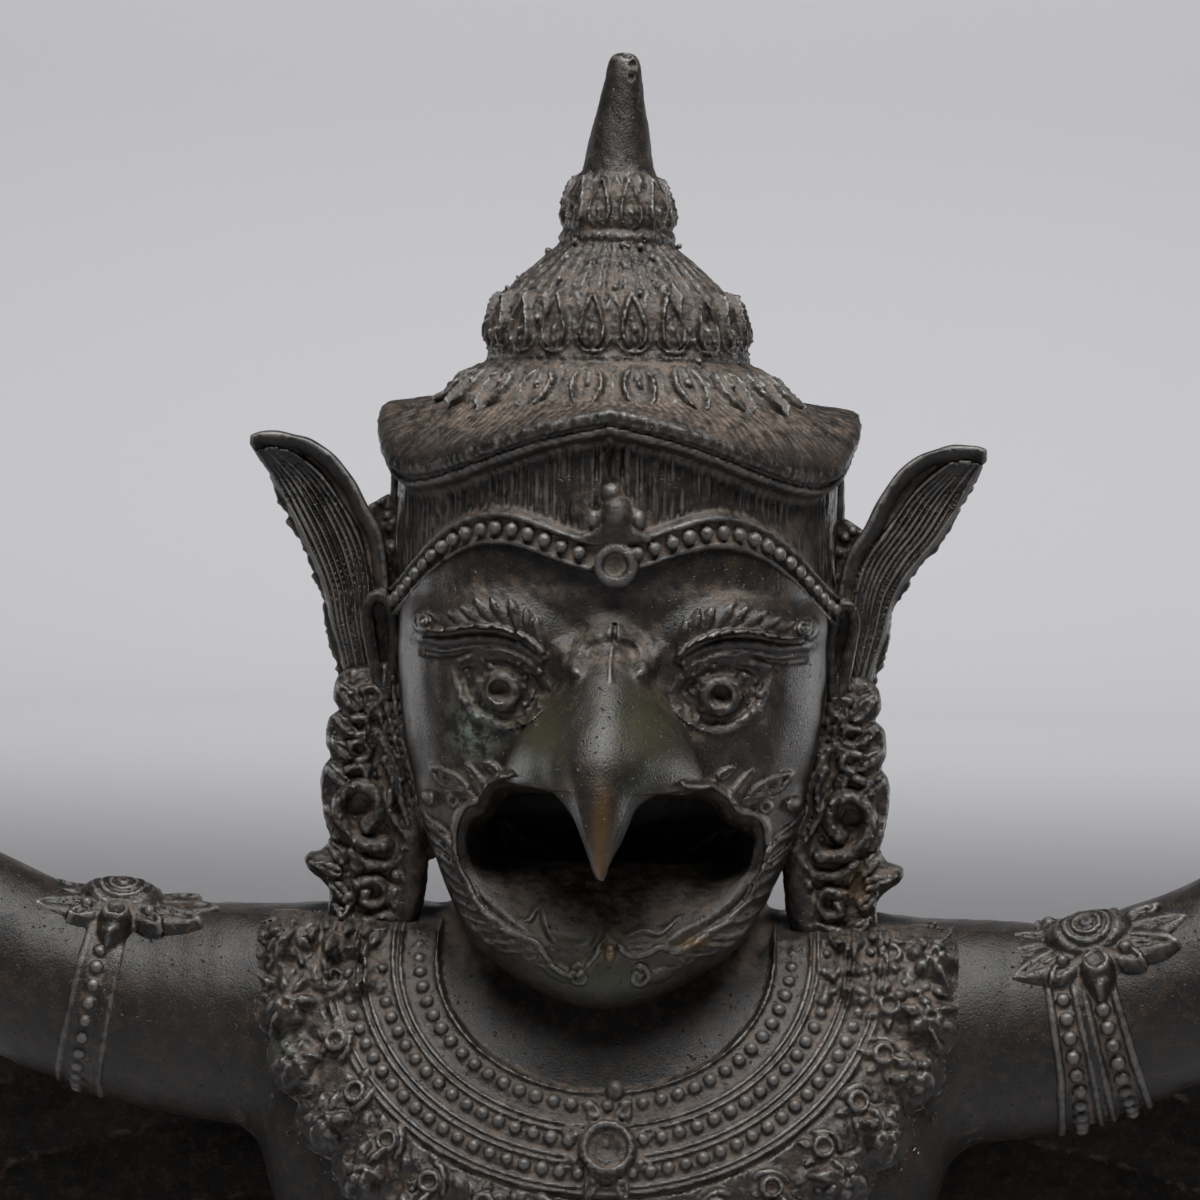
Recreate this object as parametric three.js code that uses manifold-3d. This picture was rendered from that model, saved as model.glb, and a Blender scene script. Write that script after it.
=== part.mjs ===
// The bust of a garuda, the bird king of south-east Asian temples, cast in bronze as one piece.
// A beaked head with winged ears wears a tiered, pointed crown over a flaring diadem. A beaded
// collar with an edge of rosettes lies on the chest, and the raised upper arms carry armlets, with
// feathers hanging behind them. The bust is cut flat below, and the arms are cut square.
// Millimetres, +Z up. The face looks along -Y, and the origin is in the middle of the underside.

import * as THREE from "three";
import { mergeVertices } from "three/addons/utils/BufferGeometryUtils.js";
import Module from "manifold-3d";

const wasm = await Module();
wasm.setup();

// Driving dimensions of the head and the body. Each row of a body table is a level: its height,
// half width, reach to the front and to the back of the Y axis, and how square its outline is.
const TORSO = [
  [0, 80, 52, 44, 2.4],
  [18, 87, 60, 47, 2.4],
  [34, 92, 64, 48, 2.4],
  [50, 97, 62, 48, 2.4],
  [70, 101, 54, 46, 2.3],
  [85, 102, 45, 42, 2.2],
  [98, 100, 34, 36, 2.1],
  [107, 93, 22, 27, 2],
  [113, 76, 8, 14, 2],
];
const NECK = [
  [58, 50, 50, 40, 2],
  [80, 49, 50, 42, 2],
  [95, 47, 45, 43, 2],
  [106, 45, 41, 43, 2],
  [126, 43, 38, 42, 2],
  [150, 43, 36, 42, 2],
];
const HEAD = [
  [93, 9, 55, -38, 2],
  [98, 21, 60, -22, 2],
  [108, 36, 63, -2, 2.1],
  [120, 43.5, 64, 26, 2.2],
  [133, 49.5, 63, 46, 2.3],
  [150, 54.5, 61, 55, 2.4],
  [166, 58, 59.5, 59, 2.4],
  [190, 60, 59.5, 61, 2.4],
  [218, 60.5, 60.5, 61, 2.3],
  [246, 58, 58, 58, 2],
];
const TORSO_SIDES = 22;
const NECK_SIDES = 10;
const HEAD_SIDES = 22;

// The beak, by levels as the head is, from its root between the brows to the hooked tip, but with
// how far each level stays short of the beak's reach. Its back is inside the face above the mouth.
const BEAK_REACH = 98.5;
const BEAK = [
  [195, 3, 37.5, -50, 2],
  [188, 6, 29.5, -50, 1.8],
  [180, 11.5, 19.5, -50, 1.6],
  [172, 18, 10.5, -50, 1.5],
  [164, 25, 5, -50, 1.4],
  [158, 14, 1.5, -54, 1.5],
  [150, 7.8, 0, -70, 1.6],
  [143, 5, 0.5, -80, 1.7],
  [137, 2.8, 2.5, -86, 1.8],
  [133.5, 1, 5, -90, 2],
];
const BEAK_SIDES = 10;

// The open mouth, as its outline from the front: square above its middle and round below.
const MOUTH = { middle: 138, half: 41, up: 15.5, down: 26, upSquare: 3.2, downSquare: 2.2 };
const MOUTH_DEPTH = 26;
const MOUTH_FLOOR_RISE = 17;
const MOUTH_ROOF_DROP = 4;
const LIP_RADIUS = 2.8;
const LIP_SUNK = 0.8;

// Eyes and brows.
const EYE = { out: 30, up: 179, ball: 9, bulge: 3.6, iris: 5.2, ring: 1.1 };
const BROW = [
  [54, 196],
  [45, 199],
  [35, 202.5],
  [25, 200],
  [16, 193],
  [9, 187],
];
const BROW_RADIUS = 3;
const BROW_TEETH = 3;
const JEWEL = { up: 214, radius: 6.3, height: 4.5, crestUp: 227, crestWide: 7, crestHigh: 8 };

// The diadem: a wall round the head that flares to a rim. Its foot is a beaded band in two arches
// over the brows. The rim peaks in front, dips at each side, and turns up again over the ears.
const DIADEM = { wall: 62, band: 63.6, bandHigh: 6, under: 10, lip: 66, rim: 67.2, thick: 6.5 };
const BAND_BEADS = 8;
const BAND_BEAD = { from: 6, to: 62, radius: 2.4 };
const ARCH = { middle: 219, top: 226, side: 203, topAngle: 28, sideAngle: 80 };
const RIM = { front: 253, low: 238.2, side: 254.5, lowAngle: 58, sideAngle: 100 };
const DIADEM_SIDES = 28;

// The crown, in rings from the brim up: a collar of leaves that point down, a roll, a tier of
// upright leaves, a dome, a smaller roll and tier, and a finial with a blunt tip. Each ring is a
// radius and a share of the crown's height, with more at the middle of a leaf: how far out in
// millimetres, and how far up as a share, the ring is there.
const CROWN_FOOT = 256;
const CROWN_HIGH = 97;
const LEAVES_BELOW = 18;
const LEAVES_ABOVE = 11;
const CROWN_BELOW = [
  { radius: 41, up: -0.06 },
  { radius: 47.5, up: 0 },
  { radius: 43, up: 0.052, outMore: 2.8, upMore: -0.041 },
  { radius: 38, up: 0.106 },
  { radius: 38.6, up: 0.127 },
  { radius: 36, up: 0.147 },
  { radius: 35.6, up: 0.206, outMore: 1.6 },
  { radius: 33, up: 0.263, outMore: 0.8, upMore: 0.057 },
];
const CROWN_ABOVE = [
  { radius: 31.5, up: 0.227 },
  { radius: 30.5, up: 0.314 },
  { radius: 25.8, up: 0.376 },
  { radius: 17.4, up: 0.433 },
  { radius: 17.2, up: 0.47 },
  { radius: 15.6, up: 0.487 },
  { radius: 15.8, up: 0.536, outMore: 1.6 },
  { radius: 13.6, up: 0.582, outMore: -0.4, upMore: 0.052 },
  { radius: 10, up: 0.67 },
  { radius: 8.2, up: 0.784 },
  { radius: 5.6, up: 0.928 },
  { radius: 2.6, up: 1 },
];
const CROWN_LEAN = -1.6;
const BRIM_EDGE = { radius: 47, over: 1 };

// Ears as wings, in front view: the inner edge and the outer edge from the root to the tip.
const EAR_INNER = [
  [50, 172],
  [50, 194],
  [50, 212],
  [57, 224],
  [69, 228],
  [77, 238],
  [90, 245],
  [101, 245.5],
];
const EAR_OUTER = [
  [75, 176],
  [79, 184],
  [81.5, 194],
  [84.5, 204],
  [88.5, 215],
  [93, 226],
  [98, 235],
  [102.5, 242.5],
];
const EAR = { thick: 4.6, innerDepth: -13, hollow: 9, outerDepth: -6, rimThick: 2.6 };
// The right ear is narrower at its root, and its upper edge dips lower.
const EAR_NARROW = { left: 0, right: 6.5 };
const EAR_DIP = { left: 0, right: 4.5 };

// The long lobe of each ear, and the scrolled ear ornament beside it.
const LOBE = { top: 188, foot: 111, outTop: 63.5, outFoot: 57, depth: -13, halfWide: 5.2, halfDeep: 5 };
const ORNAMENT = [
  [46, 178],
  [70, 181],
  [78, 179],
  [79, 172],
  [77, 168],
  [80.5, 162],
  [81, 150],
  [79, 141],
  [80.5, 133],
  [83.5, 127],
  [82.5, 122.5],
  [79, 123],
  [77.5, 118],
  [78, 108],
  [58, 106],
  [54, 128],
  [46, 134],
];
const ORNAMENT_FRONT = -12;
const ORNAMENT_BACK = -2;
const SCROLLS = [
  { out: 71, up: 159, radius: 7.5 },
  { out: 71, up: 139, radius: 8 },
  { out: 69.5, up: 119, radius: 7.5 },
];
const SCROLL_HIGH = 4;
const ORNAMENT_IN = { left: 0, right: 3.5 };

// Upper arms, by their centre line and radius, with the height that each hand side adds at the
// cut end, because the two arms are raised a little differently.
const ARM = [
  [58, 2, 79, 33],
  [106, 2, 82, 31],
  [128, 2, 84, 28.6],
  [150, 1, 90, 26.6],
  [170, 0, 98, 25.6],
  [200, 0, 114, 25],
];
const ARM_CUT = 188;
const ARM_SIDES = 12;
const ARM_LIFT = { left: -2.5, right: 4 };
const ARM_LIFT_FROM = 120;
const ARMLETS = {
  left: { at: 144, lean: -4, bands: [-4.5, 4.5] },
  right: { at: 134, lean: -2, bands: [-8.5, 0, 8.5] },
};
const ARMLET_BAND = 1.9;
const ARMLET_HIGH = 1.8;
const ARM_FLOWER = { at: 135, tilt: 57, boss: 9, bossHigh: 8, leaf: 25, side: 15, wide: 13, high: 6 };
const ARM_FLOWER_SLOPE = { left: 5, right: 14 };

// Feathers behind and under the arms: a sheet with a scalloped outer edge.
const WING = { inner: 40, outer: 172, bulge: 7, top: 98, front: 12, back: 24, feathers: 4, scallop: 4 };
const QUILL_RADIUS = 2.2;
const QUILL_RISE = 8;
const QUILL_DROP = 14;

// The collar: rows round the neck, each by half width, lowest point in front and behind, and how
// square its curve is, with its height over the body. All rows pass the shoulders at one height.
const COLLAR_SIDE_HEIGHT = 104.5;
const COLLAR_HIGH = 1.2;
const COLLAR_ROWS = [
  [46, 71, 101.7, 2, -4],
  [46.5, 70.5, 101.5, 2, COLLAR_HIGH + 1.6],
  [50, 68, 100.5, 2.05, COLLAR_HIGH],
  [57, 62.5, 98, 2.1, COLLAR_HIGH + 1.6],
  [60.5, 59.5, 96.5, 2.15, COLLAR_HIGH],
  [66.5, 54.5, 95, 2.2, COLLAR_HIGH + 1.6],
  [70, 51, 93, 2.25, COLLAR_HIGH],
  [76, 46, 89.5, 2.3, COLLAR_HIGH + 1.6],
  [79, 43.5, 88, 2.3, -4],
];
const COLLAR_BEADS = [
  [53, 65.5, 99.3, 2.08],
  [63, 57.5, 96, 2.18],
  [72.5, 49, 91.8, 2.28],
];
const COLLAR_ROSETTES = [83, 40.5, 86, 2.35];
const COLLAR_STEPS = 11;
const BEAD_RADIUS = 2.6;
const BEADS_IN_FRONT = [7, 9, 9];
const ROSETTES_IN_FRONT = 11;
const ROSETTE = { radius: 5, high: 4.4, drop: 9.5 };
const CENTRE_JEWEL = { up: 58, radius: 8.6, high: 6, petals: 6 };
const PETAL = { length: 13, wide: 9, high: 3.4 };

const BRONZE = { color: 0x2b2724, roughness: 0.45, metalness: 0.75 };

// Plain helpers.
const V = (x, y, z) => new THREE.Vector3(x, y, z);
const range = (n) => Array.from({ length: n }, (_, i) => i);
const mix = (a, b, t) => a + (b - a) * t;
const rad = THREE.MathUtils.degToRad;
const bend = (value, power) => Math.sign(value) * Math.abs(value) ** power;

// A closed geometry as a solid.
function fromGeometry(geometry) {
  geometry.deleteAttribute("normal");
  geometry.deleteAttribute("uv");
  const merged = mergeVertices(geometry, 1e-4);
  return new wasm.Manifold(
    new wasm.Mesh({
      numProp: 3,
      vertProperties: merged.attributes.position.array,
      triVerts: new Uint32Array(merged.index.array),
    }),
  );
}

// A closed mesh of points and faces as a solid, with its faces turned outwards.
function solid(points, faces) {
  let volume = 0;
  for (let i = 0; i < faces.length; i += 3) {
    const [a, b, c] = [0, 1, 2].map((k) => points[faces[i + k]]);
    volume += a.dot(b.clone().cross(c));
  }
  if (volume < 0) faces.reverse();
  const geometry = new THREE.BufferGeometry().setFromPoints(points);
  geometry.setIndex(faces);
  return fromGeometry(geometry);
}

// A skin over a stack of rings with as many points each. The ends are closed by fans, or the last
// ring joins the first.
function loft(rings, closed = false) {
  const sides = rings[0].length;
  const points = rings.flat();
  const faces = [];
  const spans = closed ? rings.length : rings.length - 1;
  for (let i = 0; i < spans; i++) {
    const low = i * sides;
    const high = ((i + 1) % rings.length) * sides;
    for (let j = 0; j < sides; j++) {
      const k = (j + 1) % sides;
      faces.push(low + j, low + k, high + k, low + j, high + k, high + j);
    }
  }
  if (!closed) {
    for (const [ring, start, turned] of [
      [rings[0], 0, true],
      [rings.at(-1), points.length - sides, false],
    ]) {
      const middle = points.length;
      points.push(ring.reduce((sum, p) => sum.add(p), V(0, 0, 0)).divideScalar(sides));
      for (let j = 0; j < sides; j++) {
        const k = (j + 1) % sides;
        faces.push(middle, start + (turned ? k : j), start + (turned ? j : k));
      }
    }
  }
  return solid(points, faces);
}

// One level of a body table as a ring of points.
function level([z, wide, front, back, power], sides) {
  const middle = (back - front) / 2;
  const deep = (back + front) / 2;
  return range(sides).map((i) => {
    const turn = (i / sides) * 2 * Math.PI;
    return V(
      wide * bend(Math.sin(turn), 2 / power),
      middle - deep * bend(Math.cos(turn), 2 / power),
      z,
    );
  });
}

const stack = (table, sides) => loft(table.map((row) => level(row, sides)));

// The row of a body table at any height.
function rowAt(table, z) {
  const last = table.length - 2;
  const i = Math.min(last, Math.max(0, table.findIndex((row) => row[0] > z) - 1));
  const at = z >= table.at(-1)[0] ? last : i;
  const t = Math.min(1, Math.max(0, (z - table[at][0]) / (table[at + 1][0] - table[at][0])));
  return table[at].map((value, k) => mix(value, table[at + 1][k], t));
}

// Where a body's surface is in front (side -1) or behind (side 1), at x and z.
function surface(table, x, z, side = -1) {
  const [, wide, front, back, power] = rowAt(table, z);
  const share = Math.min(0.999, Math.abs(x) / wide);
  const reach = (1 - share ** power) ** (1 / power);
  return (back - front) / 2 + side * ((back + front) / 2) * reach;
}

// The outward direction of a body's surface there.
function normalAt(table, x, z, side = -1) {
  const step = 1;
  const dx = surface(table, x + step, z, side) - surface(table, x - step, z, side);
  const dz = surface(table, x, z + step, side) - surface(table, x, z - step, side);
  return V(-side * dx, side * 2 * step, -side * dz).normalize();
}

// A tube along points, with one radius or one for each point.
function cord(points, radius, sides, closed = false) {
  const rings = points.map((p, i) => {
    const before = points[closed ? (i + points.length - 1) % points.length : Math.max(0, i - 1)];
    const after = points[closed ? (i + 1) % points.length : Math.min(points.length - 1, i + 1)];
    const along = after.clone().sub(before).normalize();
    const side = along.clone().cross(Math.abs(along.z) > 0.9 ? V(0, 1, 0) : V(0, 0, 1)).normalize();
    const up = side.clone().cross(along);
    const r = Array.isArray(radius) ? radius[i] : radius;
    return range(sides).map((j) => {
      const turn = (j / sides) * 2 * Math.PI;
      return p.clone().addScaledVector(side, r * Math.cos(turn)).addScaledVector(up, r * Math.sin(turn));
    });
  });
  return loft(rings, closed);
}

// The frame of a place on a surface: its outward direction, and two directions along it.
function placeOf(normal, towards) {
  const along = towards.clone().addScaledVector(normal, -towards.dot(normal)).normalize();
  return { normal, along, across: along.clone().cross(normal) };
}

const onPlace = (centre, place, u, v, w) =>
  centre.clone()
    .addScaledVector(place.along, u)
    .addScaledVector(place.across, v)
    .addScaledVector(place.normal, w);

// A stack of rings round a place, each by its radius and its height over the surface.
function turned(centre, place, profile, sides) {
  return loft(
    profile.map(([radius, w]) =>
      range(sides).map((i) => {
        const turn = ((i + 0.5) / sides) * 2 * Math.PI;
        return onPlace(centre, place, radius * Math.cos(turn), radius * Math.sin(turn), w);
      }),
    ),
  );
}

// A round boss that is sunk a little into the surface that carries it.
const boss = (centre, place, radius, high, sides, sink = 1.5) =>
  turned(centre, place, [[radius, -sink], [radius * 0.92, high * 0.45], [radius * 0.45, high]], sides);

// A scroll: a boss with a dimple in its middle.
const scroll = (centre, place, radius, high, sides, sink) =>
  turned(centre, place, [[radius, -sink], [radius * 0.8, high], [radius * 0.3, high * 0.2]], sides);

// An outline of points along and across a place, raised to one peak.
function raised(centre, place, outline, peak, high, sink = 1.5) {
  const ring = (w) => outline.map(([u, v]) => onPlace(centre, place, u, v, w));
  const points = [...ring(-sink), ...ring(high * 0.35), onPlace(centre, place, peak, 0, high)];
  const sides = outline.length;
  const faces = range(sides).flatMap((i) => {
    const next = (i + 1) % sides;
    return [i, next, sides + next, i, sides + next, sides + i, sides + i, sides + next, 2 * sides];
  });
  for (let i = 1; i < sides - 1; i++) faces.push(0, i + 1, i);
  return solid(points, faces);
}

// A pointed leaf from its round foot to its tip.
function leaf(foot, place, length, wide, high, sink) {
  const outline = [
    [0, 0.36 * wide],
    [0.45 * length, 0.48 * wide],
    [length, 0],
    [0.45 * length, -0.48 * wide],
    [0, -0.36 * wide],
  ];
  return raised(foot, place, outline, 0.4 * length, high, sink);
}

// A rosette that runs out into a pointed drop.
function blossom(centre, place) {
  const { radius, high, drop } = ROSETTE;
  const round = [55, 130, 230, 305].map((turn) => {
    const t = rad(turn);
    return [radius * Math.cos(t), radius * Math.sin(t)];
  });
  return raised(centre, place, [[drop, 0], ...round], 0, high);
}

// A small bead: an octahedron, half sunk.
function bead(centre, radius) {
  const ball = new THREE.OctahedronGeometry(radius, 0);
  const place = ball.getAttribute("position");
  const points = range(place.count).map((i) => V(0, 0, 0).fromBufferAttribute(place, i).add(centre));
  return solid(points, range(place.count));
}

const union = (parts) => wasm.Manifold.union(parts);
const onFace = (x, z, lift = 0) => {
  const point = V(x, surface(HEAD, x, z), z);
  return point.addScaledVector(normalAt(HEAD, x, z), lift);
};

// A height round the head, by the angle from the front: from the middle to the turning point, and
// from there to the side.
function wave(angle, middle, turning, side, turningAngle, sideAngle) {
  const ease = (t) => 0.5 - 0.5 * Math.cos(Math.PI * Math.min(1, t));
  if (angle <= turningAngle) return mix(middle, turning, ease(angle / turningAngle));
  return mix(turning, side, ease((angle - turningAngle) / (sideAngle - turningAngle)));
}

const rimHeight = (angle) => wave(angle, RIM.front, RIM.low, RIM.side, RIM.lowAngle, RIM.sideAngle);
const archHeight = (angle) =>
  wave(angle, ARCH.middle, ARCH.top, ARCH.side, ARCH.topAngle, ARCH.sideAngle);

function diadem() {
  const around = (radius, height) =>
    range(DIADEM_SIDES).map((i) => {
      const turn = (i / DIADEM_SIDES) * 2 * Math.PI;
      const angle = 180 - Math.abs(180 - (i / DIADEM_SIDES) * 360);
      return V(radius * Math.sin(turn), -radius * Math.cos(turn), height(angle));
    });
  const belowRim = (drop) => (angle) => rimHeight(angle) - drop;
  const overArch = (rise) => (angle) => archHeight(angle) + rise;
  const wall = loft([
    around(DIADEM.wall - 8, overArch(-DIADEM.bandHigh)),
    around(DIADEM.band, overArch(-DIADEM.bandHigh)),
    around(DIADEM.band, overArch(0)),
    around(DIADEM.wall, overArch(1)),
    around(DIADEM.wall, belowRim(DIADEM.under)),
    around(DIADEM.lip, belowRim(DIADEM.thick)),
    around(DIADEM.rim, belowRim(DIADEM.thick / 2)),
    around(DIADEM.lip, belowRim(0)),
    around(BRIM_EDGE.radius, () => CROWN_FOOT + BRIM_EDGE.over),
  ]);
  const beads = [-1, 1].flatMap((side) =>
    range(BAND_BEADS / 2).map((i) => {
      const angle = mix(BAND_BEAD.from, BAND_BEAD.to, (i + 0.5) / (BAND_BEADS / 2));
      const turn = side * rad(angle);
      const out = DIADEM.band;
      const z = archHeight(angle) - DIADEM.bandHigh / 2;
      return bead(V(out * Math.sin(turn), -out * Math.cos(turn), z), BAND_BEAD.radius);
    }),
  );
  return union([wall, ...beads]);
}

// Rings of the crown as one solid, with each leaf between two points of every ring.
function tiers(rings, leaves, lean) {
  const sides = 2 * leaves;
  return loft(
    rings.map(({ radius, up, outMore = 0, upMore = 0 }, row) =>
      range(sides).map((i) => {
        const aside = lean * Math.min(1, row / 3);
        const turn = (i / sides) * 2 * Math.PI;
        const atLeaf = i % 2;
        const out = radius + atLeaf * outMore;
        const z = CROWN_FOOT + CROWN_HIGH * (up + atLeaf * upMore);
        return V(aside + out * Math.sin(turn), -out * Math.cos(turn), z);
      }),
    ),
  );
}

const crown = () =>
  union([
    tiers(CROWN_BELOW, LEAVES_BELOW, CROWN_LEAN),
    tiers(CROWN_ABOVE, LEAVES_ABOVE, CROWN_LEAN),
  ]);

const beak = () => {
  const levels = BEAK.map(([z, wide, short, back, power]) => [z, wide, BEAK_REACH - short, back, power]);
  return stack(levels, BEAK_SIDES);
};

// The mouth's outline on the face at an angle from its right corner, and the hollow behind it,
// whose floor rises to the back.
function mouthEdge(turn, grow = 0) {
  const above = Math.sin(turn) > 0;
  const reach = above ? MOUTH.up : MOUTH.down;
  const power = 2 / (above ? MOUTH.upSquare : MOUTH.downSquare);
  return [
    (MOUTH.half + grow) * bend(Math.cos(turn), power),
    MOUTH.middle + (reach + grow) * bend(Math.sin(turn), power),
  ];
}

function mouthHollow() {
  const sides = 18;
  const ring = (depth, narrow, rise, drop) =>
    range(sides).map((i) => {
      const [x, z] = mouthEdge((i / sides) * 2 * Math.PI);
      const lift = z < MOUTH.middle ? rise : -drop;
      return V(x * narrow, surface(HEAD, x, z) + depth, z + lift);
    });
  return loft([
    ring(-MOUTH_DEPTH, 1, 0, 0),
    ring(0, 1, 0, 0),
    ring(MOUTH_DEPTH, 0.8, MOUTH_FLOOR_RISE, MOUTH_ROOF_DROP),
  ]);
}

function lips() {
  const steps = 14;
  const points = range(steps).map((i) => {
    const [x, z] = mouthEdge((i / steps) * 2 * Math.PI, LIP_RADIUS * 0.6);
    return onFace(x, z, -LIP_SUNK);
  });
  return cord(points, LIP_RADIUS, 4, true);
}

// Chin ornament: a bead between two leaves that curl along the jaw.
function chin() {
  const place = placeOf(normalAt(HEAD, 0, 110), V(0, 0, 1));
  const curls = [-1, 1].flatMap((side) =>
    [
      [4, 110, 17, 9],
      [21, 111, 17, 9],
    ].map(([x, z, length, wide]) => {
      const at = placeOf(normalAt(HEAD, side * x, z), V(side * 1, 0, 0.35));
      return leaf(onFace(side * x, z), at, length, wide, 2.6);
    }),
  );
  return union([boss(onFace(0, 112), place, 3.6, 4, 6), ...curls]);
}

function eye(side) {
  const centre = onFace(side * EYE.out, EYE.up);
  const place = placeOf(normalAt(HEAD, side * EYE.out, EYE.up), V(0, 0, 1));
  const profile = [
    [EYE.ball, -1.5],
    [EYE.ball * 0.85, EYE.bulge * 0.6],
    [EYE.iris, EYE.bulge],
    [EYE.iris * 0.75, EYE.bulge + EYE.ring],
    [EYE.iris * 0.35, EYE.bulge * 0.7],
  ];
  return turned(centre, place, profile, 8);
}

function brow(side) {
  const line = new THREE.CatmullRomCurve3(BROW.map(([x, z]) => onFace(side * x, z)));
  const ridge = cord(line.getPoints(6), BROW_RADIUS, 4);
  const teeth = range(BROW_TEETH).map((i) => {
    const [x, , z] = line.getPoint((i + 0.4) / BROW_TEETH).toArray();
    const place = placeOf(normalAt(HEAD, x, z), V(side * 0.35, 0, 1));
    return leaf(onFace(x, z, 0.4), place, 6.5, 5.4, 2.6);
  });
  return union([ridge, ...teeth]);
}

function jewels() {
  const front = -DIADEM.wall;
  const place = { normal: V(0, -1, 0), along: V(0, 0, 1), across: V(1, 0, 0) };
  const ring = scroll(V(0, front, JEWEL.up), place, JEWEL.radius, JEWEL.height, 8, 4);
  const crest = [1, -1].map((way) =>
    leaf(
      V(0, front, JEWEL.crestUp - way),
      placeOf(V(0, -1, 0), V(0, 0, way)),
      JEWEL.crestHigh,
      JEWEL.crestWide * 2,
      JEWEL.height,
      4,
    ),
  );
  return union([ring, ...crest]);
}

function ear(side) {
  const inner = new THREE.SplineCurve(EAR_INNER.map(([x, z]) => new THREE.Vector2(x, z)));
  const outer = new THREE.SplineCurve(EAR_OUTER.map(([x, z]) => new THREE.Vector2(x, z)));
  const across = [0, 0.16, 0.55, 1];
  const hand = side < 0 ? "left" : "right";
  const rings = range(9).map((i) => {
    const t = i / 8;
    const a = inner.getPoint(t);
    const b = outer.getPoint(t);
    a.y -= EAR_DIP[hand] * Math.sin(Math.PI * t) ** 2;
    b.x -= EAR_NARROW[hand] * (1 - t);
    const thin = mix(1, 0.55, t);
    const skin = (s, face) => {
      const y = mix(EAR.innerDepth, EAR.outerDepth, s) + EAR.hollow * Math.sin(Math.PI * s) * thin;
      const rim = s < 0.2 ? EAR.rimThick : 0;
      const off = face < 0 ? -(EAR.thick * thin) / 2 - rim * thin : (EAR.thick * thin) / 2;
      return V(side * mix(a.x, b.x, s), y + off, mix(a.y, b.y, s));
    };
    return [...across.map((s) => skin(s, -1)), ...across.toReversed().map((s) => skin(s, 1))];
  });
  return loft(rings);
}

function lobe(side) {
  const rings = range(4).map((i) => {
    const t = i / 3;
    const swell = 0.8 + 0.45 * Math.sin(Math.PI * Math.min(1, t * 0.95));
    return range(6).map((j) => {
      const turn = (j / 6) * 2 * Math.PI;
      return V(
        side * mix(LOBE.outTop, LOBE.outFoot, t) + LOBE.halfWide * swell * Math.cos(turn),
        LOBE.depth + LOBE.halfDeep * Math.sin(turn),
        mix(LOBE.top, LOBE.foot, t),
      );
    });
  });
  return loft(rings);
}

// A flat plate of the outline, between two depths.
function plate(outline, front, back) {
  const shape = new THREE.Shape(outline.map(([x, z]) => new THREE.Vector2(x, z)));
  const geometry = new THREE.ExtrudeGeometry(shape, { depth: back - front, bevelEnabled: false });
  geometry.rotateX(Math.PI / 2);
  geometry.translate(0, back, 0);
  return fromGeometry(geometry);
}

// The ear ornament: a lobed plate with round scrolls on it.
function ornament(side) {
  const shift = side < 0 ? ORNAMENT_IN.left : ORNAMENT_IN.right;
  const outline = ORNAMENT.map(([x, z]) => [side * (x - shift), z]);
  const place = placeOf(V(0, -1, 0), V(0, 0, 1));
  const scrolls = SCROLLS.map(({ out, up, radius }) =>
    scroll(V(side * (out - shift), ORNAMENT_FRONT, up), place, radius, SCROLL_HIGH, 6, 3),
  );
  return union([plate(outline, ORNAMENT_FRONT, ORNAMENT_BACK), ...scrolls]);
}

// The arm's centre line with the lift of that side.
function armLine(side) {
  const lift = side < 0 ? ARM_LIFT.left : ARM_LIFT.right;
  const end = ARM.at(-1)[0];
  return ARM.map(([x, y, z, radius]) => {
    const share = Math.max(0, (x - ARM_LIFT_FROM) / (end - ARM_LIFT_FROM));
    return { at: V(side * x, y, z + lift * share), radius };
  });
}

// The arm's centre and radius at a distance out from the middle.
function armAt(side, out) {
  const line = armLine(side);
  const i = Math.min(line.length - 2, line.findIndex((_, k) => ARM[k + 1]?.[0] > out));
  const t = (out - ARM[i][0]) / (ARM[i + 1][0] - ARM[i][0]);
  return {
    at: line[i].at.clone().lerp(line[i + 1].at, t),
    radius: mix(line[i].radius, line[i + 1].radius, t),
    along: line[i + 1].at.clone().sub(line[i].at).normalize(),
  };
}

function arm(side) {
  const line = armLine(side);
  return cord(line.map((p) => p.at), line.map((p) => p.radius), ARM_SIDES);
}

// The ring of points round an arm at a distance out, leaned, and set off from its surface.
function armRing(side, out, off, lean = 0) {
  return range(ARM_SIDES).map((i) => {
    const turn = (i / ARM_SIDES) * 2 * Math.PI;
    const place = armAt(side, out - (lean / 2) * Math.sin(turn));
    const across = place.along.clone().cross(V(0, 0, 1)).normalize();
    const up = across.clone().cross(place.along);
    return place.at.clone()
      .addScaledVector(across, (place.radius + off) * Math.cos(turn))
      .addScaledVector(up, (place.radius + off) * Math.sin(turn));
  });
}

function armlet(side) {
  const { at, lean, bands } = side < 0 ? ARMLETS.left : ARMLETS.right;
  const edge = ARMLET_BAND;
  const troughs = bands.slice(1).map((shift, i) => [(shift + bands[i]) / 2, ARMLET_HIGH / 3]);
  const ridges = bands.map((shift) => [shift, ARMLET_HIGH * 1.3]);
  const section = [
    [bands[0] - edge, -3],
    [bands[0] - edge, ARMLET_HIGH * 0.6],
    ...[...ridges, ...troughs].sort((a, b) => a[0] - b[0]),
    [bands.at(-1) + edge, ARMLET_HIGH * 0.6],
    [bands.at(-1) + edge, -3],
  ];
  return loft(section.map(([shift, off]) => armRing(side, at + shift, off, lean)));
}

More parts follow.
